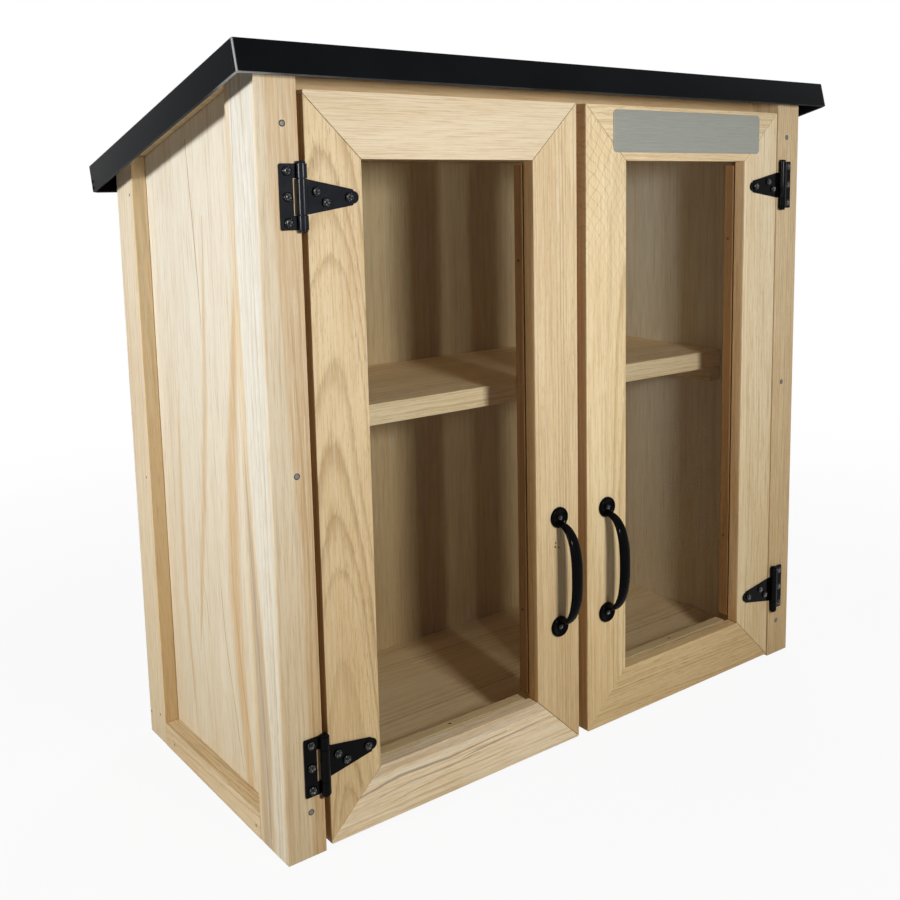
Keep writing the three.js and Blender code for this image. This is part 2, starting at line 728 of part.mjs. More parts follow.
const bookBox = new THREE.Group();
bookBox.add(cabinet());
bookBox.add(roof());
bookBox.add(doorGroup("left", LEFT_HINGES_FROM_ENDS, LEFT_HANDLE_RISE));
bookBox.add(doorGroup("right", RIGHT_HINGES_FROM_ENDS, RIGHT_HANDLE_RISE));
const label = piece("name_plate", namePlate(), brushedPlate);
label.position.set(
  DOOR_MEETING_GAP / 2 + doorWidth / 2 + NAME_PLATE_SHIFT,
  frontFace,
  doorTop - NAME_PLATE_FROM_TOP - NAME_PLATE_HEIGHT / 2,
);
bookBox.add(label);

export default bookBox;
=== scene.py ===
"""Looks of a street book exchange box: pine boards, metal roof, hinges, pulls, panes and a studio."""
import math
from typing import NamedTuple

import bmesh
import bpy
from bpy.props import FloatProperty, FloatVectorProperty, IntProperty, PointerProperty
from mathutils import Matrix, Vector


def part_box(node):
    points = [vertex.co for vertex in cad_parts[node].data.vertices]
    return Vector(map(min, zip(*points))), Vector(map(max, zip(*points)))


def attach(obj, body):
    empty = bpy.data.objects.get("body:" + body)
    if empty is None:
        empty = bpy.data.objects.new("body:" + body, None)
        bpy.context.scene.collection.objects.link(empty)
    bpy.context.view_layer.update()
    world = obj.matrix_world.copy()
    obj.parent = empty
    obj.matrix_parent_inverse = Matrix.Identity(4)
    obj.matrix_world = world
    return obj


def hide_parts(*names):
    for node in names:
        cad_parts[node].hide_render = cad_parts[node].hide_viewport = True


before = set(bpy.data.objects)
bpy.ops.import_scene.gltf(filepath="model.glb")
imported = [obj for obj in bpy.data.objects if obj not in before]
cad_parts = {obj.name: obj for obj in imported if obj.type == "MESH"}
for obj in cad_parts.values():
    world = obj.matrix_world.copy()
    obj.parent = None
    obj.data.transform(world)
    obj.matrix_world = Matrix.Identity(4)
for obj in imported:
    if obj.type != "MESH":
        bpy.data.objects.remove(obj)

bl_info = {
    "name": "Street Book Exchange Box",
    "version": (1, 0, 0),
    "blender": (4, 5, 0),
    "location": "View3D > Sidebar > Book Box",
    "description": "Dresses a book exchange box in pine, black metal and clear panes, in a plain studio",
    "category": "Object",
}

# Shapes are worked out in millimetres and placed in metres
MM = 0.001
X_AXIS = Vector((1, 0, 0))
Y_AXIS = Vector((0, 1, 0))
Z_AXIS = Vector((0, 0, 1))
ORIGIN = Vector((0, 0, 0))
FULL_TURN = 2 * math.pi
SIDES = ("left", "right")
LEVELS = ("top", "bottom")
OUTWARD_SIGNS = {"left": -1, "right": 1}


def box_mm(node):
    """The lowest and highest corner of a CAD node, in millimetres."""
    low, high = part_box(node)
    return low / MM, high / MM


# Shader building

# Outputs of the Texture Coordinate and Light Path nodes
OBJECT_PLACE = 3
CAMERA_RAY, SHADOW_RAY, GLOSSY_RAY, TRANSMISSION_RAY = 0, 1, 3, 6


class Value:
    """A shader socket that takes part in sums: each sum adds its Math node."""

    def __init__(self, graph, socket):
        self.graph = graph
        self.socket = socket

    def math(self, operation, *others):
        sockets = dict(enumerate((self, *others)))
        return self.graph.node("ShaderNodeMath", {"operation": operation}, sockets)[0]

    def __add__(self, other):
        return self.math("ADD", other)

    def __sub__(self, other):
        return self.math("SUBTRACT", other)

    def __mul__(self, other):
        return self.math("MULTIPLY", other)

    def __truediv__(self, other):
        return self.math("DIVIDE", other)

    def __pow__(self, other):
        return self.math("POWER", other)

    def __rsub__(self, other):
        return self.graph.node("ShaderNodeMath", {"operation": "SUBTRACT"}, {0: other, 1: self})[0]

    __radd__ = __add__
    __rmul__ = __mul__

    def fade(self, start, end):
        """0 at start, 1 at end and smooth between; start may be the higher number."""
        sockets = {"Value": self, "From Min": start, "From Max": end}
        settings = {"interpolation_type": "SMOOTHSTEP"}
        return self.graph.node("ShaderNodeMapRange", settings, sockets)[0]


class Graph:
    """A node tree that is built from nothing."""

    def __init__(self, tree):
        self.tree = tree
        self.tree.nodes.clear()

    def node(self, kind, settings=None, sockets=None):
        """Adds a node, sets it, then fills its sockets by name or number. Returns its outputs."""
        made = self.tree.nodes.new(kind)
        for key, setting in (settings or {}).items():
            if key == "stops":
                self.set_stops(made.color_ramp, setting)
            else:
                setattr(made, key, setting)
        for key, content in (sockets or {}).items():
            if isinstance(content, Value):
                self.tree.links.new(content.socket, made.inputs[key])
            else:
                made.inputs[key].default_value = content
        return [Value(self, output) for output in made.outputs]

    @staticmethod
    def set_stops(ramp, stops):
        while len(ramp.elements) < len(stops):
            ramp.elements.new(1)
        for element, (position, grey) in zip(ramp.elements, stops):
            element.position = position
            element.color = (grey, grey, grey, 1)


class Finish(Graph):
    """A material and the nodes that make it."""

    def __init__(self, name):
        self.material = bpy.data.materials.new(name)
        self.material.use_nodes = True
        super().__init__(self.material.node_tree)

    def ramp(self, value, *stops):
        """A grey curve through (position, level) stops."""
        return self.node("ShaderNodeValToRGB", {"stops": stops}, {"Fac": value})[0]

    def mix(self, low, high, share, blend="MIX"):
        """A colour between two others, or the two blended."""
        settings = {"data_type": "RGBA", "blend_type": blend}
        return self.node("ShaderNodeMix", settings, {0: share, 6: opaque(low), 7: opaque(high)})[2]

    def vector(self, x, y, z):
        return self.node("ShaderNodeCombineXYZ", None, {0: x, 1: y, 2: z})[0]

    def noise(self, vector, detail=2.0, roughness=0.5):
        sockets = {"Vector": vector, "Scale": 1.0, "Detail": detail, "Roughness": roughness}
        return self.node("ShaderNodeTexNoise", None, sockets)[0]

    def place_mm(self):
        """The three object coordinates, in millimetres."""
        place = self.node("ShaderNodeTexCoord")[OBJECT_PLACE]
        scaled = self.node("ShaderNodeVectorMath", {"operation": "SCALE"}, {0: place, "Scale": 1 / MM})[0]
        return self.node("ShaderNodeSeparateXYZ", None, {0: scaled})

    def lumps(self, density, detail=2.0, roughness=0.5):
        """Noise that is alike in all directions, its scale counted per millimetre."""
        place = [coordinate * density for coordinate in self.place_mm()]
        return self.noise(self.vector(*place), detail, roughness)

    def bump(self, height, distance_mm, strength=1.0):
        sockets = {"Height": height, "Distance": distance_mm * MM, "Strength": strength}
        return self.node("ShaderNodeBump", None, sockets)[0]

    def shader(self, sockets):
        return self.node("ShaderNodeBsdfPrincipled", None, sockets)[0]

    def done(self, surface):
        self.node("ShaderNodeOutputMaterial", None, {"Surface": surface})
        return self.material


def opaque(colour):
    """A colour with its alpha, or a link as it is."""
    return colour if isinstance(colour, Value) else (*colour[:3], 1.0)


# Settings a user would change


def colour_setting(name, description, red, green, blue):
    return FloatVectorProperty(
        name=name, description=description, subtype="COLOR", size=3, min=0, max=1, default=(red, green, blue)
    )


def length_setting(name, description, millimetres):
    return FloatProperty(name=name, description=description, unit="LENGTH", min=0, default=millimetres * MM)


class WoodSettings(bpy.types.PropertyGroup):
    """Colours and figure of the pine, and the shade painted onto it."""

    pale: colour_setting("Pale", "Nearly white sapwood of a post's side", 0.85, 0.835, 0.755)
    cream: colour_setting("Cream", "Palest early wood", 0.84, 0.80, 0.69)
    straw: colour_setting("Straw", "Early wood of the posts and doors", 0.85, 0.665, 0.405)
    tan: colour_setting("Tan", "Late wood lines", 0.46, 0.30, 0.14)
    honey: colour_setting("Honey", "Broad warm patches", 0.70, 0.50, 0.28)
    dash: colour_setting("Dash", "Short dark fibre marks", 0.30, 0.17, 0.07)
    stain: colour_setting("Stain", "Grey-blue streaks", 0.25, 0.21, 0.21)
    # Painted shade: the stiles' edge faces are tinted darker and warmer, as they look in the gaps
    edge_shade: colour_setting("Edge shade", "Tint of the stiles' edges, as they look in shade", 0.95, 0.77, 0.58)
    # Painted shade: darkens and warms the wood towards the ground
    painted_low_shade: colour_setting("Low shade", "Tint that the wood takes towards the ground", 0.90, 0.83, 0.70)
    knot: colour_setting("Knot", "Centres of small knots", 0.16, 0.06, 0.02)
    edge_rounding: length_setting("Edge rounding", "Radius sanded onto every board edge", 0.5)
    rounding_steps: IntProperty(
        name="Rounding steps", description="Faces across a rounded edge", min=1, default=2
    )


class RoofSettings(bpy.types.PropertyGroup):
    """The folded sheet metal cover."""

    pitch: FloatProperty(
        name="Pitch", description="Slope to the back", subtype="ANGLE", default=math.radians(15)
    )
    sheet: length_setting("Sheet", "Thickness of the metal", 0.8)
    fold: length_setting("Fold", "Outer radius of the folded edges", 1.6)
    hem: length_setting("Hem", "Height of the edge folded back inside", 8)
    coat: colour_setting("Coat", "Satin near-black coating", 0.0032, 0.0038, 0.0044)
    # Painted highlight down the folded front corners
    corner_highlight: colour_setting("Corner highlight", "Bright line along the folded corners", 0.55, 0.56, 0.57)
    # Painted highlight along the lower edge of the hem
    rim: colour_setting("Rim", "Worn line along the lower edge", 0.45, 0.46, 0.47)


class HardwareSettings(bpy.types.PropertyGroup):
    """Hinges, pulls, screws, nails and the name plate."""

    black: colour_setting("Black", "Coating of hinges and pulls", 0.0022, 0.0022, 0.0024)
    # A duller coat, whose paler bluish colour is partly a painted reflection
    satin: colour_setting("Satin", "Duller coating of the upper left hinge", 0.0065, 0.008, 0.011)
    # Pale recess walls: worn paint, and painted glints on the recess edges
    worn: colour_setting("Worn", "Walls of the cross recesses", 0.20, 0.20, 0.20)
    zinc: colour_setting("Zinc", "Catches", 0.60, 0.61, 0.62)
    nail: colour_setting("Nail", "Nail heads", 0.16, 0.16, 0.165)
    # Painted shade of the hole round a nail head
    dent_shade: colour_setting("Dent shade", "Bruised wood round a nail", 0.045, 0.024, 0.012)
    plate: colour_setting("Plate", "Brushed name plate", 0.36, 0.365, 0.32)
    plate_rounding: length_setting("Plate rounding", "Radius on sheet edges", 0.25)
    knuckle_steps: IntProperty(
        name="Knuckle steps", description="Faces round a curled knuckle", min=8, default=28
    )
    grip_steps: IntProperty(name="Grip steps", description="Rings along a pull's grip", min=8, default=36)


class PaneSettings(bpy.types.PropertyGroup):
    """The clear sheets in the doors."""

    tint: colour_setting("Tint", "Colour of the sheet", 0.965, 0.975, 0.97)
    bending: FloatProperty(name="Bending", description="Refractive index", min=1, default=1.42)
    haze: FloatProperty(
        name="Haze", description="Share of the sheet that isn't clear", min=0, max=1, default=0.04
    )


class StageSettings(bpy.types.PropertyGroup):
    """Camera, lights and floor."""

    camera: FloatVectorProperty(
        name="Camera", description="Place of the camera", unit="LENGTH", size=3,
        default=(-0.64156, -0.86370, 0.51757),
    )
    heading: FloatProperty(name="Heading", description="Turn from +Y to +X", subtype="ANGLE", default=0.7057)
    tilt: FloatProperty(name="Tilt", description="Angle above level", subtype="ANGLE", default=-0.1463)
    roll: FloatProperty(
        name="Roll", description="Turn about the line of sight", subtype="ANGLE", default=-0.0069
    )
    lens: FloatProperty(name="Lens", description="Focal length for a 36 mm sensor", min=1, default=44.16)
    shift: FloatVectorProperty(
        name="Shift", description="Share of the frame", size=2, default=(-0.1225, -0.1222)
    )
    floor: colour_setting("Floor", "Paper of the floor, under its own glow", 0.45, 0.45, 0.45)
    floor_glow: FloatProperty(
        name="Floor glow", description="Share of plain white in the floor beside the box",
        min=0, max=1, default=0.93,
    )
    ambient: FloatProperty(name="Ambient", description="Even light from all round", min=0, default=0.07)
    front: FloatProperty(name="Front light", description="Power of the front softbox", min=0, default=5.7)
    side: FloatProperty(name="Side light", description="Power of the left softbox", min=0, default=7.8)
    rear: FloatProperty(name="Rear light", description="Power of the rear right softbox", min=0, default=24)


class BookBoxSettings(bpy.types.PropertyGroup):
    """All settings of the book exchange box."""

    wood: PointerProperty(type=WoodSettings)
    roof: PointerProperty(type=RoofSettings)
    hardware: PointerProperty(type=HardwareSettings)
    pane: PointerProperty(type=PaneSettings)
    stage: PointerProperty(type=StageSettings)


# Mesh helpers

# Points closer than this are one point, in millimetres
SAME_POINT = 0.0001
CAD_SAME_POINT = 0.02
CAD_EDGE_ANGLE = 40


def verts_of(items):
    return [item for item in items if isinstance(item, bmesh.types.BMVert)]


def finish_faces(bm, sharp_angle):
    """Merges doubles, points faces outwards and shades them smooth below an angle."""
    bmesh.ops.remove_doubles(bm, verts=bm.verts, dist=SAME_POINT)
    bmesh.ops.recalc_face_normals(bm, faces=bm.faces)
    for face in bm.faces:
        face.smooth = True
    for edge in bm.edges:
        edge.smooth = edge.is_manifold and edge.calc_face_angle(0) < math.radians(sharp_angle)


def turned(bm, profile, steps):
    """Spins (radius, height) points about Z, and joins the seam and the points on the axis."""
    points = [bm.verts.new((radius, 0, height)) for radius, height in profile]
    lines = [bm.edges.new(pair) for pair in zip(points, points[1:])]
    bmesh.ops.spin(
        bm, geom=points + lines, cent=ORIGIN, axis=Z_AXIS, angle=FULL_TURN, steps=steps, use_merge=True
    )
    bmesh.ops.remove_doubles(bm, verts=bm.verts, dist=SAME_POINT)


def plate(bm, outline, back, front):
    """A flat plate from its outline in X and Z, between two depths."""
    face = bm.faces.new([bm.verts.new((x, back, z)) for x, z in outline])
    made = bmesh.ops.extrude_face_region(bm, geom=[face])["geom"]
    bmesh.ops.translate(bm, vec=(0, front - back, 0), verts=verts_of(made))


def soften(bm, radius, steps, angle=50):
    """Rounds every edge that is sharper than an angle."""
    sharp = [edge for edge in bm.edges if edge.is_manifold and edge.calc_face_angle(0) > math.radians(angle)]
    bmesh.ops.bevel(
        bm, geom=sharp, offset=radius, segments=steps, profile=0.5, affect="EDGES", material=-1,
        clamp_overlap=True,
    )


def add_mesh(bm, mesh, place):
    """Adds a copy of a mesh at a place."""
    before = set(bm.verts)
    bm.from_mesh(mesh)
    added = [vert for vert in bm.verts if vert not in before]
    bmesh.ops.transform(bm, matrix=place, verts=added)


def template(name, bm):
    """Turns a bmesh into a mesh that other pieces copy."""
    mesh = bpy.data.meshes.new(name)
    bm.to_mesh(mesh)
    bm.free()
    return mesh


def facing(spot, direction, twist=0.0):
    """A place at a spot, with Z turned to a direction and a twist about it in degrees."""
    turn = Vector(direction).to_track_quat("Z", "Y").to_matrix().to_4x4()
    return Matrix.Translation(spot) @ turn @ Matrix.Rotation(math.radians(twist), 4, "Z")


def add_piece(name, bm, materials, body, replaced=(), place=None):
    """Makes a piece from a bmesh in millimetres and lets it ride on a body."""
    to_metres = Matrix.Scale(MM, 4) @ (place or Matrix.Identity(4))
    bmesh.ops.transform(bm, matrix=to_metres, verts=bm.verts)
    mesh = bpy.data.meshes.new(name)
    bm.to_mesh(mesh)
    bm.free()
    for material in materials:
        mesh.materials.append(material)
    piece = bpy.data.objects.new(name, mesh)
    bpy.context.scene.collection.objects.link(piece)
    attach(piece, body)
    if replaced:
        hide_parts(*replaced)
    return piece


def dress_node(node, material):
    """Gives a CAD node its material."""
    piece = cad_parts[node]
    piece.data.materials.clear()
    piece.data.materials.append(material)
    return piece


def round_edges(piece, radius, steps):
    """Rounds the edges of a CAD node, whose triangles are joined first."""
    weld = piece.modifiers.new("Join", "WELD")
    weld.merge_threshold = CAD_SAME_POINT * MM
    bevel = piece.modifiers.new("Rounding", "BEVEL")
    bevel.width = radius
    bevel.segments = steps
    bevel.limit_method = "ANGLE"
    bevel.angle_limit = math.radians(CAD_EDGE_ANGLE)
    bevel.use_clamp_overlap = True


# Wood


class Streak(NamedTuple):
    """A band of another hue that follows the grain through (along, across, half width) points."""

    hue: str
    across: str
    strength: float
    path: tuple
    softness: float = 0.6


class Knot(NamedTuple):
    """A small brown knot: its centre and radius."""

    centre: tuple
    radius: float


class Board(NamedTuple):
    """How one board was cut: its grain and where the heart of the tree lay, in millimetres.

    Its tint brings its mean colour, as rendered on the stage below, near the real board's. A tint
    above 1 also makes up for weak light on the board, so it is a guess of the stage as much as of
    the wood.
    """

    grain: str
    pith: tuple
    spacing: float = 3.2
    lean: tuple = (0.0, 0.0)
    sway: float = 12.0
    tone: float = 0.6
    figure: float = 0.5
    streaks: float = 0.4
    dashes: float = 0.3
    jag: float = 1.5
    soft_rings: bool = False
    drawn: tuple = ()
    knots: tuple = ()
    saw_marks: tuple = ()
    face: float = None
    tint: tuple = (1.0, 1.0, 1.0)
    # Share of the painted shade towards the ground
    painted_low_shade: float = 1.0


REAR_POST_FACE = box_mm("rear_post_left")[0].y
BOARDS = {
    "front_post_left": Board(
        "Z", (-420, -60), 3.0, (0.02, 0.015), sway=10, tone=0.55, figure=0.35, streaks=0.5, dashes=0.15,
        drawn=(
            Streak("pale", "Y", 1.0, (
                (-10, -129, 10), (100, -129, 10), (300, -122, 18), (600, -119, 21),
            ), 0.1),
            Streak("honey", "X", 0.75, (
                (-10, -262, 19), (240, -262, 17), (340, -264, 22), (590, -268, 27),
            ), 0.15),
            Streak("tan", "X", 0.45, (
                (-10, -276, 1.2), (240, -273, 1.5), (340, -276, 1.0), (430, -280, 0.5),
            )),
            Streak("tan", "X", 0.4, (
                (-10, -270, 0.8), (240, -269, 1.2), (420, -272, 1.0), (590, -279, 0.6),
            )),
            Streak("stain", "Y", 0.4, (
                (420, -96.8, 0.2), (470, -99, 0.9), (540, -103, 0.9), (585, -104.5, 0.2),
            )),
            Streak("stain", "Y", 0.36, (
                (-10, -107, 13), (80, -109, 14), (180, -105, 10), (270, -99, 4), (340, -97, 0.5),
            )),
            Streak("stain", "Y", 0.4, (
                (10, -113, 1.5), (129, -108, 3.0), (233, -101, 1.4), (310, -98, 0.6),
            )),
        ),
        knots=(Knot((-270.1, -140.5, 46.6), 2.2),),
    ),
    "front_post_right": Board(
        "Z", (430, -60), 2.8, (-0.02, 0.01), sway=8, tone=0.9, figure=0.5, streaks=0.5,
        tint=(0.97, 0.95, 0.92),
    ),
    "rear_post_left": Board(
        "Z", (-240, 210), 4.4, (0.02, 0.02), tone=0.45, figure=0.3, streaks=0.4, dashes=0.15,
        # Painted shade: the front face, seen in the side's recess, is coloured straw
        drawn=(Streak("straw", "Y", 0.95, ((-10, REAR_POST_FACE, 2), (620, REAR_POST_FACE, 2)), 0.1),),
    ),
    "rear_post_right": Board(
        "Z", (240, 210), 4.4, (0.02, 0.02), tone=0.45, figure=0.3, streaks=0.4, dashes=0.15
    ),
    "side_panel_left": Board(
        "Z", (-262, 30), 17, (0.01, 0.05), sway=34, tone=0.12, figure=0.12, streaks=0.3, dashes=0.03,
        jag=0.5, soft_rings=True,
        drawn=(
            Streak("tan", "Y", 0.8, ((390, 0.8, 0.3), (441, 3.5, 1.1), (493, 8.4, 1.4), (550, 14, 1.0))),
            Streak("honey", "Y", 0.7, (
                (30, 57, 1), (99, 62, 4.5), (158, 66, 7), (233, 65, 7), (276, 63, 5), (340, 57, 1),
            ), 0.85),
            Streak("honey", "Y", 0.7, (
                (110, 40, 1), (169, 30, 6), (268, 12, 7), (327, 3, 7), (406, -5, 5), (490, -12, 1),
            ), 0.85),
            Streak("honey", "Y", 0.85, (
                (0, -53, 9), (110, -43, 15), (190, -39, 17), (290, -45, 15), (390, -60, 8), (480, -73, 1),
            ), 0.8),
            Streak("tan", "Y", 0.6, (
                (30, -38, 0.8), (137, -15.4, 1.2), (182, -10.9, 1.2), (225, -9.4, 0.4),
            )),
            Streak("tan", "Y", 0.45, ((30, -60, 0.8), (110, -45, 1.6), (190, -36, 1.2), (260, -38, 0.6))),
            Streak("tan", "Y", 0.45, ((130, 17, 0.8), (159, 20.6, 1.4), (179, 26.4, 0.8))),
            Streak("tan", "Y", 0.35, ((30, 22, 0.6), (120, 33, 1.2), (230, 28, 0.8))),
        ),
    ),
    "side_panel_right": Board(
        "Z", (262, 10), 17, (0.01, -0.04), sway=34, tone=0.1, figure=0.3, streaks=0.45, dashes=0.05,
        jag=0.5, soft_rings=True,
    ),
    "side_bottom_rail_left": Board("Y", (-260, 40), 3.4, (0.01, 0.02), tone=0.6, streaks=0.6, dashes=0.4),
    "side_bottom_rail_right": Board("Y", (260, 40), 3.4, (0.01, 0.02), tone=0.6, streaks=0.6, dashes=0.4),
    "shelf_cleat_left": Board("Y", (-240, 280), 3.0, (0.01, 0.02), tone=0.9),
    "shelf_cleat_right": Board("Y", (240, 280), 3.0, (0.01, 0.02), tone=0.9),
    # Its dark tint is painted shade inside the closed box
    "back_panel": Board(
        "Z", (40, 108), 14, (0.03, 0.02), sway=40, tone=1.2, figure=0.4, streaks=0.4, dashes=0.05, jag=0.5,
        soft_rings=True, tint=(0.74, 0.75, 0.78),
    ),
    "back_bottom_rail": Board("X", (180, 40), 3.4, (0.01, 0.02), tone=0.7, dashes=0.4),
    "floor_board": Board("X", (20, -50), 4.0, (0.01, 0.01), sway=20, tone=0.7, figure=0.6),
    "shelf_board": Board(
        "X", (-60, 280), 2.6, (0.004, 0.004), sway=6, tone=0.75, figure=0.6, tint=(1.12, 1.08, 1.0), painted_low_shade=0.2
    ),
    # Its dark tint is painted shade under the roof's front flange
    "header_rail": Board("X", (-70, 590), 2.6, (0.01, 0.01), tone=1.0, tint=(0.66, 0.6, 0.52)),
    "roof_board": Board("X", (0, 640), 4.0, (0.01, 0.01), tone=1.1, dashes=0.4),
    "left_door_hinge_stile": Board(
        "Z", (-246, -172), 3.4, (0.006, 0.07), sway=14, tone=1.0, figure=0.7, streaks=0.5, dashes=0.9,
        jag=0.8,
    ),
    "left_door_handle_stile": Board(
        "Z", (60, -180), 2.8, (0.01, 0.01), sway=8, tone=0.95, figure=0.6, streaks=0.5, dashes=0.6, jag=0.8,
        knots=(
            Knot((-32.2, -140.5, 195.7), 1.0), Knot((-32.8, -140.5, 192.1), 1.2),
            Knot((-28.7, -140.5, 190.7), 0.9),
        ),
    ),
    "left_door_bottom_rail": Board(
        "X", (-180, 70), 3.2, (0.02, 0.01), tone=0.7, figure=0.4, streaks=0.7, dashes=0.9,
        tint=(1.18, 1.18, 1.17), painted_low_shade=0.3,
        drawn=(
            Streak("stain", "Z", 0.3, ((-290, 44, 7), (-200, 48, 6), (-100, 47, 6), (0, 50, 4))),
            Streak("stain", "Z", 0.75, ((-250, 30, 0.6), (-200, 37, 1.8), (-150, 35, 1.5), (-90, 38, 0.4))),
            Streak("stain", "Z", 0.6, ((-235, 24, 0.3), (-190, 28, 1.1), (-150, 27, 0.9), (-120, 29, 0.3))),
            Streak("tan", "Z", 0.6, ((-210, 17, 0.3), (-160, 21, 1.2), (-110, 20, 0.8), (-70, 22, 0.3))),
            Streak("stain", "Z", 0.7, ((-140, 30, 0.3), (-105, 32, 1.2), (-60, 34, 0.8), (-40, 35, 0.3))),
            Streak("cream", "Z", 0.6, ((-230, 40, 1.5), (-180, 40, 2.5), (-100, 42, 2.0), (-50, 42, 0.8))),
        ),
    ),
    "left_door_top_rail": Board(
        "X", (-180, 640), 1.7, (0.004, 0.004), sway=5, tone=0.7, figure=0.3, streaks=0.25, dashes=0.1,
        jag=0.3,
    ),
    "right_door_hinge_stile": Board(
        "Z", (420, -170), 2.6, (0.02, 0.01), sway=5, tone=0.6, figure=0.5, streaks=0.6, dashes=0.2,
        tint=(1.15, 1.15, 1.1),
    ),
    "right_door_handle_stile": Board(
        "Z", (90, -200), 3.8, (0.06, 0.04), sway=14, tone=0.85, figure=0.6, streaks=0.5, dashes=0.5,
        saw_marks=(330, 560), tint=(1.14, 1.15, 1.11), jag=0.8,
    ),
    "right_door_bottom_rail": Board(
        "X", (-160, -20), 3.2, (0.01, 0.03), tone=0.95, figure=0.65, dashes=0.6, tint=(1.04, 1.03, 1.0)
    ),
    "right_door_top_rail": Board(
        "X", (-180, 600), 3.4, (0.01, 0.03), sway=16, tone=0.8, dashes=0.5, tint=(1.08, 1.08, 1.05)
    ),
}
RETAINERS = ("hinge_side_retainer", "handle_side_retainer", "bottom_retainer", "top_retainer")


def retainer_board(name, side):
    """A retainer strip. The side ones are tinted as they look in the shade of the stiles."""
    shift = 60 * OUTWARD_SIGNS[side]
    if "side" in name:
        return Board("Z", (shift, -150), 3.0, (0.01, 0.01), tone=1.3, dashes=0.4, tint=(0.59, 0.41, 0.30))
    return Board("X", (-150, 250), 3.0, (0.01, 0.01), tone=0.9, dashes=0.4)


def wood_finish(name, seed, board, settings):
    """Pine: growth rings round a heart beside the board, fibre marks, drawn streaks and knots, with painted
    shade on the stiles' edges and towards the ground.
    """
    finish = Finish(name + "_wood")
    x, y, z = finish.place_mm()
    across, through, along = {"X": (y, z, x), "Y": (x, z, y), "Z": (x, y, z)}[board.grain]

    def pattern(width, length, detail=2.0, shift=0.0):
        """Noise whose marks have a width across the grain and a length along it."""
        sockets = (across / width + (seed + shift), through / width + shift, along / length + seed)
        return finish.noise(finish.vector(*sockets), detail=detail)

    wander = pattern(90, 420)
    jag = pattern(1.3, 13, detail=3.0, shift=17.0) - 0.5
    sway = (wander - 0.5) * (2 * board.sway)
    side = across - board.pith[0] + along * board.lean[0] + sway
    depth = through - board.pith[1] + along * board.lean[1] + sway * 0.6
    rings = ((side * side + depth * depth) ** 0.5 + jag * (2 * board.jag)) / board.spacing
    uneven = finish.noise(finish.vector(rings * 0.4, seed, 0.5), detail=1.0)
    phase = (rings + uneven * 2.0).math("FRACT")
    if board.soft_rings:
        late = finish.ramp(
            phase, (0.0, 0.2), (0.18, 0.0), (0.45, 0.25), (0.72, 1.0), (0.86, 0.7), (1.0, 0.2)
        )
    else:
        late = finish.ramp(
            phase, (0.0, 0.4), (0.1, 0.02), (0.55, 0.10), (0.84, 0.75), (0.94, 1.0), (1.0, 0.4)
        )
    late = late * uneven.fade(0.32, 0.62)

    broad = pattern(34, 260, shift=3.0)
    streak = pattern(2.6, 110, detail=3.0, shift=5.0)
    fibre = pattern(0.8, 26, detail=3.0, shift=7.0)
    fine = pattern(0.45, 6, shift=9.0)
    marks = pattern(0.7, 9, shift=11.0).fade(0.60, 0.70) * wander.fade(0.35, 0.55)

    tone = board.tone
    base = [settings.cream[i] * (1 - tone) + settings.straw[i] * tone for i in range(3)]
    colour = finish.mix(base, settings.honey, broad.fade(0.40, 0.70) * (0.15 + 0.35 * min(tone, 1)))
    axes = {"X": x, "Y": y, "Z": z}
    smear = pattern(1.6, 45, detail=3.0, shift=13.0)
    for drawn in board.drawn:
        hue = getattr(settings, drawn.hue)
        share = drawn_share(finish, drawn, along, axes[drawn.across] + jag * 1.2 + sway * 0.04)
        colour = finish.mix(colour, hue, share * smear.fade(0.2, 0.44) * drawn.strength)
    colour = finish.mix(colour, settings.tan, late * board.figure)
    colour = finish.mix(colour, settings.tan, streak.fade(0.48, 0.74) * (board.streaks * 0.6))
    colour = finish.mix(colour, settings.cream, streak.fade(0.46, 0.26) * (board.streaks * 0.6))
    colour = finish.mix(colour, settings.tan, fibre.fade(0.47, 0.76) * 0.42)
    colour = finish.mix(colour, settings.cream, fibre.fade(0.45, 0.24) * 0.35)
    colour = finish.mix(colour, settings.dash, marks * (board.dashes * 0.45) + fine.fade(0.56, 0.78) * 0.16)
    # Painted shade, darker and warmer towards the ground
    colour = finish.mix(colour, settings.painted_low_shade, z.fade(560.0, -60.0) * board.painted_low_shade, "MULTIPLY")
    tinted = 1.0
    # Painted shade on the stiles' edge faces behind the front face, which skip the board's tint
    if board.face is not None:
        edge_shade_share = (y - board.face).fade(0.2, 3.0) * (y - board.face).fade(28.0, 22.0)
        colour = finish.mix(colour, settings.edge_shade, edge_shade_share, "MULTIPLY")
        tinted = 1 - edge_shade_share
    colour = finish.mix(colour, board.tint, tinted, "MULTIPLY")
    if board.saw_marks:
        low, high = board.saw_marks
        bent = pattern(40, 60, shift=15.0) * 3.0
        lines = [((z * slope + x) / 9.0 + bent).math("FRACT") for slope in (0.8, -0.55)]
        cuts = lines[0].fade(0.86, 0.95) + lines[1].fade(0.88, 0.95)
        colour = finish.mix(colour, settings.tan, cuts * z.fade(low, high) * 0.4)
    for knot in board.knots:
        offsets = [(value - centre) / knot.radius for value, centre in zip((x, y, z), knot.centre)]
        squares = [offset * offset for offset in offsets]
        spot = (squares[0] + squares[1] + squares[2]).fade(1.3, 0.4)
        colour = finish.mix(colour, settings.knot, spot)

    return finish.done(finish.shader({
        "Base Color": colour,
        "Roughness": 0.56 + fibre * 0.16,
        "Normal": finish.bump(fibre * 0.6 + fine * 0.4 + late * 0.3 - marks * 0.6, 0.1, 0.6),
        "Specular IOR Level": 0.2,
    }))


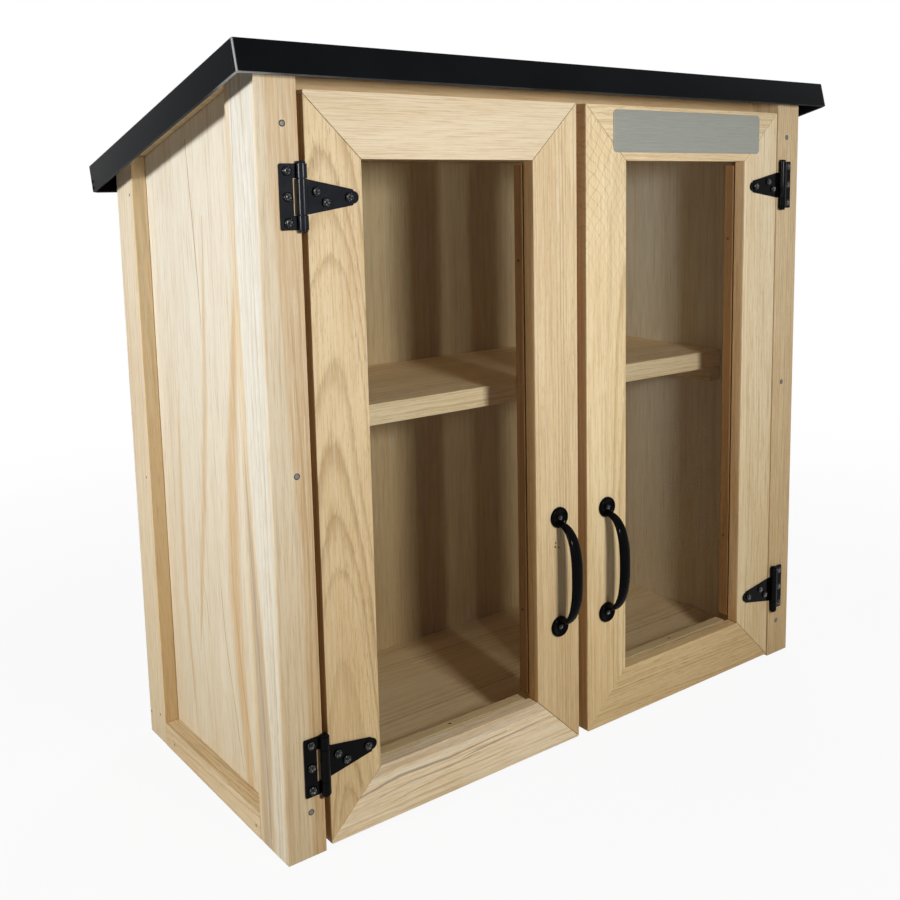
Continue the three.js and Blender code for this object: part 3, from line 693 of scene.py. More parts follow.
def drawn_share(finish, drawn, along, across):
    """How much of a drawn streak covers a place: 1 on its middle line and 0 beyond its width."""
    alongs, middles, widths = zip(*drawn.path)
    start, length = alongs[0], alongs[-1] - alongs[0]
    left, spread = min(middles), max(max(middles) - min(middles), 0.01)
    widest = max(widths)
    travel = (along - start) / length
    places = [(position - start) / length for position in alongs]
    shifts = [(value - left) / spread for value in middles]
    shares = [value / widest for value in widths]
    middle = finish.ramp(travel, *zip(places, shifts)) * spread + left
    width = finish.ramp(travel, *zip(places, shares)) * widest
    inside = travel.math("COMPARE", 0.5, 0.5)
    return ((across - middle).math("ABSOLUTE") / width).fade(1.0, 1.0 - drawn.softness) * inside


class BOOKBOX_OT_boards(bpy.types.Operator):
    """Give every board its own cut of pine and rounded edges"""

    bl_idname = "bookbox.boards"
    bl_label = "Finish the boards"

    def execute(self, context):
        wood = context.scene.book_box.wood
        boards = dict(BOARDS)
        for side in SIDES:
            for strip in RETAINERS:
                boards[side + "_door_" + strip] = retainer_board(strip, side)
        front = box_mm("front_post_left")[0].y
        for number, (name, board) in enumerate(boards.items()):
            if name.endswith("stile"):
                board = board._replace(face=front)
            piece = dress_node(name, wood_finish(name, 10.0 * number, board, wood))
            round_edges(piece, wood.edge_rounding, wood.rounding_steps)
        return {"FINISHED"}


# Metal and clear sheets


def black_coat(name, colour, roughness, gloss):
    """Black powder coat with a faint orange-peel surface and paler worn patches."""
    finish = Finish(name)
    peel = finish.lumps(1.3)
    wear = finish.lumps(0.12, detail=3.0)
    worn = [channel * 1.5 for channel in colour]
    return finish.done(finish.shader({
        "Base Color": finish.mix(colour, worn, wear.fade(0.45, 0.7)),
        "Roughness": roughness + wear * 0.06,
        "Normal": finish.bump(peel, 0.02, 0.35),
        "Specular IOR Level": gloss,
    }))


def roof_coat(settings, top_edge, flange, half):
    """Satin near-black coating with faint dust, and painted highlights along the hem and down the front
    corners.
    """
    finish = Finish("roof_coat")
    x, y, z = finish.place_mm()
    cloud = finish.lumps(0.012, detail=4.0, roughness=0.6)
    peel = finish.lumps(0.9)
    dusty = [channel * 1.6 for channel in settings.coat]
    colour = finish.mix(settings.coat, dusty, cloud.fade(0.35, 0.75))
    down = (y - top_edge.y) * math.sin(settings.pitch) + (z - top_edge.z) * math.cos(settings.pitch)
    # Painted highlight along the hem, patchy with the dust
    hem_highlight = (down + (flange - 0.3)).math("ABSOLUTE").fade(0.9, 0.3) * cloud.fade(0.25, 0.6)
    bend = settings.fold / MM * 0.7
    forward = (y - top_edge.y) * math.cos(settings.pitch) - (z - top_edge.z) * math.sin(settings.pitch)
    # Painted highlight down the folded front corners
    corner = (x.math("ABSOLUTE") - half).fade(-bend * 1.4, -0.1) * forward.fade(bend * 1.4, 0.1)
    colour = finish.mix(colour, settings.corner_highlight, corner * cloud.fade(0.2, 0.45))
    # The hem's painted highlight is brightest by the front left corner
    near = (x + half).fade(90.0, 0.0) * forward.fade(60.0, 5.0) * 0.88 + 0.12
    return finish.done(finish.shader({
        "Base Color": finish.mix(colour, settings.rim, hem_highlight * near),
        "Roughness": 0.4 + cloud * 0.14,
        "Normal": finish.bump(peel, 0.02, 0.3),
        "Specular IOR Level": 0.03,
    }))


RIVET_RISE = 0.5
# Radius and height of the points of a rivet's dome
RIVET_DOME = ((1.5, 0), (1.45, 0.15), (1.1, 0.36), (0.6, 0.46), (0, 0.48))
RIVET_FROM_CORNER = 3.2
RIVET_SHARES = (0.61, 0.83)
HEM_GAP = 1.8


class BOOKBOX_OT_roof(bpy.types.Operator):
    """Fold the metal roof cover, with its hem and rivets"""

    bl_idname = "bookbox.roof"
    bl_label = "Fold the roof cover"

    def execute(self, context):
        settings = context.scene.book_box.roof
        low, high = box_mm("roof_cover")
        cosine, sine = math.cos(settings.pitch), math.sin(settings.pitch)
        run, drop = high.y - low.y, high.z - low.z
        spread = cosine ** 2 - sine ** 2
        length = (run * cosine - drop * sine) / spread
        flange = (drop * cosine - run * sine) / spread
        top_edge = Vector(((low.x + high.x) / 2, low.y + flange * sine, high.z))
        place = Matrix.Translation(top_edge) @ Matrix.Rotation(-settings.pitch, 4, "X")
        half = (high.x - low.x) / 2 - RIVET_RISE
        coat = roof_coat(settings, top_edge, flange, half)
        self.fold_sheet(settings, coat, half, length, flange, place)
        self.set_rivets(coat, half, length, flange, place)
        return {"FINISHED"}

    def fold_sheet(self, settings, coat, half, length, flange, place):
        """The grid is the top; its rim is drawn down, and turned in and up again as a hem."""
        middle = Matrix.Translation((0, -length / 2, 0))
        bm = bmesh.new()
        bmesh.ops.create_grid(bm, x_segments=1, y_segments=1, size=1)
        bmesh.ops.scale(bm, vec=(half, length / 2, 1), verts=bm.verts)
        bmesh.ops.translate(bm, vec=(0, length / 2, 0), verts=bm.verts)
        turn_in = HEM_GAP / 2
        bends = ((0, turn_in - flange), (turn_in, -turn_in), (turn_in, turn_in), (0, settings.hem / MM))
        half_now, length_now = half, length
        for inset, rise in bends:
            rim = [edge for edge in bm.edges if edge.is_boundary]
            verts = verts_of(bmesh.ops.extrude_edge_only(bm, edges=rim)["geom"])
            bmesh.ops.translate(bm, vec=(0, 0, rise), verts=verts)
            shrink = ((half_now - inset) / half_now, (length_now - 2 * inset) / length_now, 1)
            bmesh.ops.scale(bm, vec=shrink, space=middle, verts=verts)
            half_now -= inset
            length_now -= 2 * inset
        soften(bm, settings.fold / MM, 3, angle=60)
        finish_faces(bm, 40)
        if sum(face.normal.z * face.calc_area() for face in bm.faces) < 0:
            bmesh.ops.reverse_faces(bm, faces=bm.faces)
        cover = add_piece("roof_sheet", bm, [coat], "cabinet", ["roof_cover"], place)
        wall = cover.modifiers.new("Sheet", "SOLIDIFY")
        wall.thickness = settings.sheet
        wall.offset = -1

    def set_rivets(self, coat, half, length, flange, place):
        """Two blind rivets near each corner hold the side flanges to the folded ends."""
        bm = bmesh.new()
        turned(bm, RIVET_DOME, 16)
        finish_faces(bm, 60)
        head = template("rivet_head", bm)
        bm = bmesh.new()
        for side in (-1, 1):
            for along in (RIVET_FROM_CORNER, length - RIVET_FROM_CORNER):
                for share in RIVET_SHARES:
                    spot = (side * half, along, -flange * share)
                    add_mesh(bm, head, facing(spot, (side, 0, 0)))
        add_piece("roof_rivets", bm, [coat], "cabinet", place=place)


# Shares of a screw's radius and height
SCREW_HEAD_SHARES = (
    (0, 0), (0.86, 0), (0.86, 0.12), (1, 0.22), (1, 0.36), (0.96, 0.56), (0.88, 0.76), (0.76, 0.92),
    (0.6, 0.99), (0.3, 1), (0, 1),
)
SCREW_TOP_SHARE = 0.6
# Shares of the recess's reach, of the head's height and of the recess's width at the top
SLOT_SHARE = 0.36
RECESS_DEPTH_SHARE = 0.55
RECESS_FLOOR_SHARE = 0.6


def cross_screw(name, radius, height, recess):
    """A pan head screw with a cross recess, standing on Z = 0."""
    bm = bmesh.new()
    turned(bm, [(radius * share, height * rise) for share, rise in SCREW_HEAD_SHARES], 24)
    bmesh.ops.recalc_face_normals(bm, faces=bm.faces)
    slot_half = recess * SLOT_SHARE
    top_height = height * SCREW_TOP_SHARE
    for axis in (X_AXIS, Y_AXIS):
        for reach in (-recess, -slot_half, slot_half, recess):
            top = [face for face in bm.faces if face.calc_center_median().z > top_height]
            geometry = set(top)
            for face in top:
                geometry.update(face.edges)
                geometry.update(face.verts)
            bmesh.ops.bisect_plane(bm, geom=list(geometry), plane_co=axis * reach, plane_no=axis)

    def in_cross(face):
        middle = face.calc_center_median()
        near, far = sorted((abs(middle.x), abs(middle.y)))
        return near < slot_half and far < recess and middle.z > top_height

    cross = [face for face in bm.faces if in_cross(face)]
    made = bmesh.ops.extrude_face_region(bm, geom=cross)["geom"]
    bmesh.ops.delete(bm, geom=[face for face in cross if face.is_valid], context="FACES")
    floor = verts_of(made)
    bmesh.ops.translate(bm, vec=(0, 0, -height * RECESS_DEPTH_SHARE), verts=floor)
    bmesh.ops.scale(bm, vec=(RECESS_FLOOR_SHARE, RECESS_FLOOR_SHARE, 1), verts=floor)
    finish_faces(bm, 32)
    # The recess walls take the third material, worn paint and painted glints
    for face in bm.faces:
        middle = face.calc_center_median()
        inside = max(abs(middle.x), abs(middle.y)) < recess and height * 0.5 < middle.z < height * 0.97
        face.material_index = 2 if inside and abs(face.normal.z) < 0.95 else 1
    return template(name, bm)


def in_front(spot, twist=0.0):
    """A place on a plate that faces the front."""
    return facing(spot, (0, -1, 0), twist)


HINGE_SEAT = 0.1
HINGE_PLATE = 1.5
KNUCKLE_GAP = 0.4
CURL = 300
LEAF_CORNER = 1.2
LEAF_CORNER_CUT = 0.35
LEAF_SLOT = 1.9
LEAF_SCREW_REACH = 10.3
LEAF_SCREW_SPACING = 18.3
STRAP_NECK = 5.9
STRAP_NOTCH = 1.2
STRAP_NECK_REACH = 42.4
STRAP_NECK_FLARE = 0.1
STRAP_NECK_NICK = 0.5
STRAP_NECK_SLANT = 0.8
STRAP_TIP_STEPS = 8
STRAP_ROOT = 12.6
STRAP_ROOT_REACH = 5.5
STRAP_SCREWS = ((12.0, 3.8), (19.6, -3.8), (38.7, 0))
# Tilt of each strap, in degrees
STRAP_SAGS = {"left_top": 1.3, "left_bottom": -1.2, "right_top": 1.6, "right_bottom": -0.8}
SCREW_RADIUS = 3.6
SCREW_RISE = 2.0
SCREW_RECESS = 2.2
PIN_CLEARANCE = 0.1
PIN_HEAD_RADIUS = 3.1
PIN_HEAD_HEIGHT = 1.8
# Share of the head's radius, and millimetres below its top
PIN_DOME = ((0, 0), (0.45, 0.06), (0.78, 0.24), (0.95, 0.5), (1, 0.8), (1, 1.35), (0.93, PIN_HEAD_HEIGHT))


class BOOKBOX_OT_hinges(bpy.types.Operator):
    """Fold the tee hinges, with their pins and screws"""

    bl_idname = "bookbox.hinges"
    bl_label = "Fold the hinges"

    def execute(self, context):
        settings = context.scene.book_box.hardware
        satin = black_coat("satin_black", settings.satin, 0.20, 0.10)
        bright = black_coat("screw_black", settings.black, 0.12, 0.22)
        gloss = black_coat("gloss_black", settings.black, 0.06, 0.05)
        # Its pale grey on the recess walls is worn paint and painted glints
        worn = black_coat("hinge_recess", settings.worn, 0.5, 0.2)
        screw = cross_screw("hinge_screw", SCREW_RADIUS, SCREW_RISE, SCREW_RECESS)
        for side in SIDES:
            for level in LEVELS:
                hinge = side + "_" + level + "_hinge_"
                coat = satin if hinge == "left_top_hinge_" else gloss
                self.fold_hinge(settings, hinge, side, [coat, bright, worn], screw)
        return {"FINISHED"}

    def fold_hinge(self, settings, hinge, side, coats, screw):
        """In its own frame a hinge has its pin on Z, the wood at Y = 0 and its leaf towards -X."""
        pin_low, pin_high = box_mm(hinge + "pin")
        leaf_low, leaf_high = box_mm(hinge + "leaf")
        strap_low, strap_high = box_mm(hinge + "strap")
        wood = box_mm("front_post_" + side)[0].y
        pin = (pin_low + pin_high) / 2
        place = Matrix.Translation((pin.x, wood, pin.z))
        if side == "right":
            place = place @ Matrix.Rotation(math.pi, 4, "Y")
        outward = OUTWARD_SIGNS[side]
        sizes = {
            "knuckle": wood - HINGE_SEAT - pin.y,
            "leaf_reach": max(outward * (leaf_low.x - pin.x), outward * (leaf_high.x - pin.x)),
            "leaf_end": (leaf_high.z - leaf_low.z) / 2,
            "strap_end": (strap_high.z - strap_low.z) / 2,
            "strap_reach": max(outward * (pin.x - strap_low.x), outward * (pin.x - strap_high.x)),
            "pin_end": (pin_high.z - pin_low.z) / 2,
            "sag": -outward * math.tan(math.radians(STRAP_SAGS[hinge.removesuffix("_hinge_")])),
        }
        steps = settings.knuckle_steps
        rounding = settings.plate_rounding / MM
        leaf = self.leaf(sizes, steps, rounding, screw)
        add_piece(hinge + "leaf_folded", leaf, coats, "cabinet", [hinge + "leaf"], place)
        strap = self.strap(sizes, steps, rounding, screw)
        door = side + "_door"
        add_piece(hinge + "strap_folded", strap, coats, door, [hinge + "strap"], place)
        pin_mesh = self.pin(sizes)
        add_piece(hinge + "pin_headed", pin_mesh, coats, "cabinet", [hinge + "pin"], place)

    def curl(self, bm, sizes, steps, direction):
        """Rolls the plate's free ends at X = 0 round the pin."""
        ends = [
            face for face in bm.faces
            if abs(face.calc_center_median().x) < 0.01 and abs(face.normal.x) > 0.9
        ]
        centre = (0, -HINGE_SEAT - sizes["knuckle"], 0)
        geometry = set(ends)
        for face in ends:
            geometry.update(face.edges)
            geometry.update(face.verts)
        bmesh.ops.spin(
            bm, geom=list(geometry), cent=centre, axis=Z_AXIS, angle=direction * math.radians(CURL),
            steps=steps,
        )

    def leaf(self, sizes, steps, rounding, screw):
        """The fixed leaf: two knuckles with a slot between them for the strap's."""
        bm = bmesh.new()
        reach, end = sizes["leaf_reach"], sizes["leaf_end"]
        notch = sizes["strap_end"] + KNUCKLE_GAP
        slot = -sizes["knuckle"] - LEAF_SLOT
        corner, cut = LEAF_CORNER, LEAF_CORNER_CUT
        outline = [
            (corner - reach, -end), (0, -end), (0, -notch), (slot, -notch), (slot, notch), (0, notch),
            (0, end), (corner - reach, end), (cut - reach, end - cut), (-reach, end - corner),
            (-reach, corner - end), (cut - reach, cut - end),
        ]
        plate(bm, outline, -HINGE_SEAT, -HINGE_SEAT - HINGE_PLATE)
        bmesh.ops.recalc_face_normals(bm, faces=bm.faces)
        self.curl(bm, sizes, steps, -1)
        bmesh.ops.recalc_face_normals(bm, faces=bm.faces)
        soften(bm, rounding, 2)
        finish_faces(bm, 20)
        for index, height in enumerate((-LEAF_SCREW_SPACING, 0, LEAF_SCREW_SPACING)):
            spot = (-LEAF_SCREW_REACH, -HINGE_SEAT - HINGE_PLATE, height)
            add_mesh(bm, screw, in_front(spot, 20 + 50 * index))
        return bm

    def strap(self, sizes, steps, rounding, screw):
        """The tapered strap with the middle knuckle and a rounded tip."""
        bm = bmesh.new()
        end = sizes["strap_end"]
        tip = STRAP_NECK - STRAP_NOTCH
        tip_length = sizes["strap_reach"] - STRAP_NECK_REACH
        turns = [math.pi * (step / STRAP_TIP_STEPS - 0.5) for step in range(STRAP_TIP_STEPS + 1)]
        round_tip = [
            (STRAP_NECK_REACH + tip_length * math.cos(turn), tip * math.sin(turn)) for turn in turns
        ]
        upper = [
            (STRAP_NECK_REACH, STRAP_NECK - STRAP_NECK_NICK),
            (STRAP_NECK_REACH - STRAP_NECK_SLANT, STRAP_NECK + STRAP_NECK_FLARE),
            (STRAP_ROOT_REACH, STRAP_ROOT), (0, end),
        ]
        lower = [(reach, -height) for reach, height in reversed(upper)]
        outline = [*lower, *round_tip, *upper]
        sagged = [(reach, height - reach * sizes["sag"]) for reach, height in outline]
        plate(bm, sagged, -HINGE_SEAT, -HINGE_SEAT - HINGE_PLATE)
        bmesh.ops.recalc_face_normals(bm, faces=bm.faces)
        self.curl(bm, sizes, steps, 1)
        bmesh.ops.recalc_face_normals(bm, faces=bm.faces)
        soften(bm, rounding, 2)
        finish_faces(bm, 20)
        for index, (reach, height) in enumerate(STRAP_SCREWS):
            spot = (reach, -HINGE_SEAT - HINGE_PLATE, height - reach * sizes["sag"])
            add_mesh(bm, screw, in_front(spot, 35 + 40 * index))
        return bm

    def pin(self, sizes):
        bm = bmesh.new()
        end = sizes["pin_end"]
        radius = sizes["knuckle"] - HINGE_PLATE - PIN_CLEARANCE
        upper = [(share * PIN_HEAD_RADIUS, end - drop) for share, drop in PIN_DOME]
        lower = [(share, -height) for share, height in reversed(upper)]
        shank = end - PIN_HEAD_HEIGHT
        turned(bm, [*upper, (radius, shank), (radius, -shank), *lower], 24)
        bmesh.ops.translate(bm, vec=(0, -HINGE_SEAT - sizes["knuckle"], 0), verts=bm.verts)
        finish_faces(bm, 50)
        return bm


HANDLE_SEAT = 0.1
PULL_CENTRES = 101.6
PULL_GRIP = 90
PULL_BASE = 1.6
PULL_THICKNESS = 5.4
PULL_NECK_WIDTH = 6.5
PULL_WIDTH = 12.4
# Power of the bow's curve, which is an ellipse at 1 and squarer below
PULL_BOW = 0.8
# Turns about the bow, in radians: of its first and last ring, and to either side of a ring for its aim
PULL_END_TURN = 0.004
PULL_AIM_TURN = 0.003
PULL_DISH = 1.7
PULL_SCREW_RADIUS = 2.9
PULL_SCREW_RISE = 1.5
PULL_SCREW_RECESS = 1.7


class BOOKBOX_OT_pulls(bpy.types.Operator):
    """Draw the bowed pull handles with their dished feet"""

    bl_idname = "bookbox.pulls"
    bl_label = "Draw the pulls"

    def execute(self, context):
        settings = context.scene.book_box.hardware
        coat = black_coat("pull_black", settings.black, 0.04, 0.025)
        bright = black_coat("pull_screw_black", settings.black, 0.14, 0.15)
        # Its pale grey on the recess walls is worn paint and painted glints
        worn = black_coat("pull_recess", settings.worn, 0.5, 0.2)
        foot = self.foot()
        screw = cross_screw("pull_screw", PULL_SCREW_RADIUS, PULL_SCREW_RISE, PULL_SCREW_RECESS)
        for side in SIDES:
            node = side + "_door_handle"
            low, high = box_mm(node)
            wood = box_mm("front_post_" + side)[0].y
            middle = (low + high) / 2
            projection = wood - low.y
            bm = bmesh.new()
            self.draw_grip(bm, settings.grip_steps, projection)
            for end in (-1, 1):
                centre = Vector((0, -HANDLE_SEAT, end * PULL_CENTRES / 2))
                add_mesh(bm, foot, in_front(centre, 90))
                add_mesh(bm, screw, in_front(centre - Vector((0, PULL_DISH, 0)), 30 * end))
            place = Matrix.Translation((middle.x, wood, middle.z))
            coats = [coat, bright, worn]
            add_piece(side + "_pull", bm, coats, side + "_door", [node], place)
        return {"FINISHED"}

    def foot(self):
        """A round foot with a raised rim and a dish for its screw."""
        bm = bmesh.new()
        profile = [
            (0, 0), (9.3, 0), (9.5, 0.3), (9.5, 1.3), (9.3, 2.1), (8.9, 2.75), (8.3, 3.1), (7.7, 3.2),
            (7.1, 3.05), (6.5, 2.65), (5.8, 2.15), (4.9, 1.85), (3.8, PULL_DISH), (0, PULL_DISH),
        ]
        turned(bm, profile, 40)
        finish_faces(bm, 50)
        return template("pull_foot", bm)

    def draw_grip(self, bm, steps, projection):
        """Extrudes a flattened round section ring by ring along the bow."""
        def point(turn):
            along = PULL_GRIP / 2 * math.copysign(abs(math.cos(turn)) ** PULL_BOW, math.cos(turn))
            out = PULL_BASE + (projection - PULL_BASE - PULL_THICKNESS / 2) * math.sin(turn) ** PULL_BOW
            return Vector((0, -out, along))

        def ring(turn):
            turn = min(max(turn, PULL_END_TURN), math.pi - PULL_END_TURN)
            sight = (point(turn + PULL_AIM_TURN) - point(turn - PULL_AIM_TURN)).normalized()
            outward = sight.cross(X_AXIS)
            width = PULL_NECK_WIDTH + (PULL_WIDTH - PULL_NECK_WIDTH) * math.sin(turn)
            frame_axes = Matrix((X_AXIS * width / 2, outward * PULL_THICKNESS / 2, sight)).transposed()
            return Matrix.Translation(point(turn)) @ frame_axes.to_4x4()

        before = set(bm.verts)
        bmesh.ops.create_circle(bm, cap_ends=True, radius=1, segments=20)
        section = [vert for vert in bm.verts if vert not in before]
        cap = section[0].link_faces[0]
        last = Matrix.Identity(4)
        for step in range(steps + 1):
            if step:
                made = bmesh.ops.extrude_face_region(bm, geom=[cap])["geom"]
                cap = next(item for item in made if isinstance(item, bmesh.types.BMFace))
                section = verts_of(made)
            now = ring(math.pi * step / steps)
            bmesh.ops.transform(bm, matrix=now @ last.inverted(), verts=section)
            last = now
        finish_faces(bm, 50)


class BOOKBOX_OT_panes(bpy.types.Operator):
    """Make the door panes clear"""

    bl_idname = "bookbox.panes"
    bl_label = "Clear the panes"

    def execute(self, context):
        settings = context.scene.book_box.pane
        finish = Finish("clear_sheet")
        x, y, z = finish.place_mm()
        dust = finish.noise(finish.vector(x * 0.02, y, z * 0.02), detail=3.0)
        clear = finish.node("ShaderNodeBsdfTransparent", None, {"Color": opaque(settings.tint)})[0]
        sheen = finish.shader({
            "Base Color": finish.mix((0.02, 0.02, 0.02), (0.05, 0.05, 0.048), dust),
            "Roughness": 0.03 + dust * 0.03,
            "IOR": settings.bending,
        })
        facing_away = finish.node("ShaderNodeLayerWeight")[1]
        share = facing_away ** 3 * 0.5 + settings.haze
        shadow = finish.node("ShaderNodeLightPath")[SHADOW_RAY]
        seen = share * (1 - shadow)
        surface = finish.node("ShaderNodeMixShader", None, {0: seen, 1: clear, 2: sheen})[0]
        sheet = finish.done(surface)
        for side in SIDES:
            dress_node(side + "_door_pane", sheet)
        return {"FINISHED"}


CATCH_BEVEL = 0.3
GROOVE_SLOPE = 0.15
GROOVE_WIDTH = 0.75
GROOVE_DEPTH = 0.2
# Radius and depth of the points of a catch's screw, from its rim inwards
CATCH_SCREW = ((2.6, 0), (1.9, 0.5), (1.0, 0.55), (0.6, 0.9), (0, 0.9))


class BOOKBOX_OT_catches(bpy.types.Operator):
    """Turn the cup magnets and the strike plates"""

    bl_idname = "bookbox.catches"
    bl_label = "Turn the catches"

    def execute(self, context):
        settings = context.scene.book_box.hardware
        finish = Finish("zinc")
        spangle = finish.lumps(0.7, detail=3.0)
        darker = [channel * 0.7 for channel in settings.zinc]
        zinc = finish.done(finish.shader({
            "Base Color": finish.mix(darker, settings.zinc, spangle),
            "Roughness": 0.28 + spangle * 0.2,
            "Metallic": 1.0,
        }))
        for side in SIDES:
            self.turn_disc("catch_magnet_" + side, "cabinet", zinc, (0, -1, 0), 0.72)
            self.turn_disc(side + "_door_strike_plate", side + "_door", zinc, (0, 1, 0), 0.9)
        return {"FINISHED"}

    def turn_disc(self, node, body, material, direction, groove):
        """A disc with a shallow groove round its face and a countersunk screw in the middle."""
        low, high = box_mm(node)
        radius = (high.z - low.z) / 2
        depth = high.y - low.y
        start = (low + high) / 2
        start.y = high.y if direction[1] < 0 else low.y
        outer = radius * groove
        inner = outer - GROOVE_WIDTH
        profile = [
            (0, 0), (radius, 0), (radius, depth - CATCH_BEVEL), (radius - CATCH_BEVEL, depth),
            (outer, depth), (outer - GROOVE_SLOPE, depth - GROOVE_DEPTH),
            (inner + GROOVE_SLOPE, depth - GROOVE_DEPTH), (inner, depth),
            *((reach, depth - sunk) for reach, sunk in CATCH_SCREW),
        ]
        bm = bmesh.new()
        turned(bm, profile, 40)
        finish_faces(bm, 30)
        add_piece(node + "_turned", bm, [material], body, [node], facing(start, direction))


NAIL_RADIUS = 1.8
BRAD_RADIUS = 0.9
# Shares of a nail's radius, and heights in millimetres
NAIL_DENT = ((1.38, 0), (1.3, 0.04), (1, 0.05))
NAIL_HEAD = ((1, 0.05), (0.92, 0.2), (0.6, 0.28), (0, 0.3))
NAIL_STEPS = 20
POST_NAIL_ACROSS = {"left": -279.5, "right": 281.5}
POST_NAIL_HEIGHTS = (556.4, 302.0, 37.0)
SIDE_BRADS = ((109.9, 504.9), (112.3, 253.3), (137.4, 20.3), (114.7, 25.6), (83.1, 8.0), (-85.1, 8.4))
BACK_BRADS = ((284.0, 470.0), (284.0, 250.0), (284.0, 30.0), (150.0, 11.0), (20.0, 11.0))
RETAINER_NAIL_DEPTH = 6.0
RETAINER_NAIL_HEIGHTS = {"left": (447.0, 133.0), "right": (455.0, 143.0)}


class BOOKBOX_OT_nails(bpy.types.Operator):
    """Drive the nails of the cabinet and of the pane retainers"""

    bl_idname = "bookbox.nails"
    bl_label = "Drive the nails"

    def execute(self, context):
        settings = context.scene.book_box.hardware
        steel = self.nail_steel("nail_steel", settings.nail, 0.35)
        dent_shade = self.nail_steel("nail_dent", settings.dent_shade, 0.8)
        head = self.nail(NAIL_RADIUS)
        brad = self.nail(BRAD_RADIUS)
        bm = bmesh.new()
        for side, across in POST_NAIL_ACROSS.items():
            front = box_mm("front_post_" + side)[0].y
            for height in POST_NAIL_HEIGHTS:
                add_mesh(bm, head, in_front((across, front, height)))
        for outward in (-1, 1):
            face = outward * box_mm("front_post_right")[1].x
            for y, z in SIDE_BRADS:
                add_mesh(bm, brad, facing((face, y, z), (outward, 0, 0)))
        back = box_mm("rear_post_left")[1].y
        for x, z in BACK_BRADS:
            for outward in (-1, 1):
                add_mesh(bm, brad, facing((outward * x, back, z), (0, 1, 0)))
        add_piece("cabinet_nails", bm, [steel, dent_shade], "cabinet")
        for side in SIDES:
            bm = bmesh.new()
            for spot, direction in self.retainer_spots(side):
                add_mesh(bm, brad, facing(spot, direction))
            # The retainer nails take the dark ring's colour on their heads as well
            add_piece(side + "_door_nails", bm, [dent_shade, dent_shade], side + "_door")
        return {"FINISHED"}

    def nail_steel(self, name, colour, roughness):
        finish = Finish(name)
        grain = finish.lumps(2)
        bright = [channel * 1.5 for channel in colour]
        return finish.done(finish.shader({
            "Base Color": finish.mix(colour, bright, grain),
            "Roughness": roughness + grain * 0.15,
            "Specular IOR Level": 0.4,
        }))

    def nail(self, radius):
        """A domed nail head on a ring of painted shade, for the hole it was driven into."""
        bm = bmesh.new()
        turned(bm, [(radius * share, height) for share, height in NAIL_DENT], NAIL_STEPS)
        # The ring round the head is painted shade of its hole
        for face in bm.faces:
            face.material_index = 1
        rim = len(bm.faces)
        turned(bm, [(radius * share, height) for share, height in NAIL_HEAD], NAIL_STEPS)
        bm.faces.ensure_lookup_table()
        for face in bm.faces[rim:]:
            face.material_index = 0
        finish_faces(bm, 60)
        return template("nail", bm)

    def retainer_spots(self, side):
        """Nails on the faces of the retainer strips that look into a door's opening."""
        depth = box_mm(side + "_door_hinge_side_retainer")[0].y + RETAINER_NAIL_DEPTH
        inward = -OUTWARD_SIGNS[side]
        for strip, sign in (("hinge_side", inward), ("handle_side", -inward)):
            low, high = box_mm(side + "_door_" + strip + "_retainer")
            face = high.x if sign > 0 else low.x
            for height in RETAINER_NAIL_HEIGHTS[side]:
                yield (face, depth, height), (sign, 0, 0)
        for strip, sign in (("bottom", 1), ("top", -1)):
            low, high = box_mm(side + "_door_" + strip + "_retainer")
            yield ((low.x + high.x) / 2, depth, high.z if sign > 0 else low.z), (0, 0, sign)


NAME_PLATE_ROUNDING = 0.2


class BOOKBOX_OT_name_plate(bpy.types.Operator):
    """Brush the blank name plate"""

    bl_idname = "bookbox.name_plate"
    bl_label = "Brush the name plate"

    def execute(self, context):
        settings = context.scene.book_box.hardware
        finish = Finish("brushed_plate")
        x, y, z = finish.place_mm()
        strokes = finish.noise(finish.vector(x * 0.05, y, z * 6.0), detail=4.0, roughness=0.7)
        cloud = finish.noise(finish.vector(x * 0.03, y, z * 0.06))
        darker = [channel * 0.75 for channel in settings.plate]
        metal = finish.done(finish.shader({
            "Base Color": finish.mix(darker, settings.plate, strokes.fade(0.3, 0.7)),
            "Roughness": 0.34 + cloud * 0.12,
            "Normal": finish.bump(strokes, 0.02, 0.4),
            "Metallic": 0.8,
        }))
        piece = dress_node("name_plate", metal)
        round_edges(piece, NAME_PLATE_ROUNDING * MM, 2)
        return {"FINISHED"}


# Stage


# Place, aim and width of each lamp, in metres
SOFTBOXES = {
    "front": ((-0.15, -0.95, 0.57), (0.0, 0.0, 0.40), 0.13),
    "left": ((-1.2, -0.11, 0.53), (-0.2, -0.02, 0.40), 0.13),
    "rear": ((1.3, 1.1, 0.9), (0.0, 0.0, 0.3), 0.9),
}
FLOOR_REACH = 12
# Where the floor starts to turn white and where it is, in millimetres from the box's middle
FLOOR_FADE = (450.0, 1500.0)
WHITE = (1, 1, 1, 1)
AMBIENT_COLOUR = (1, 0.94, 0.86, 1)
SENSOR_WIDTH = 36
CLIP_START = 0.01


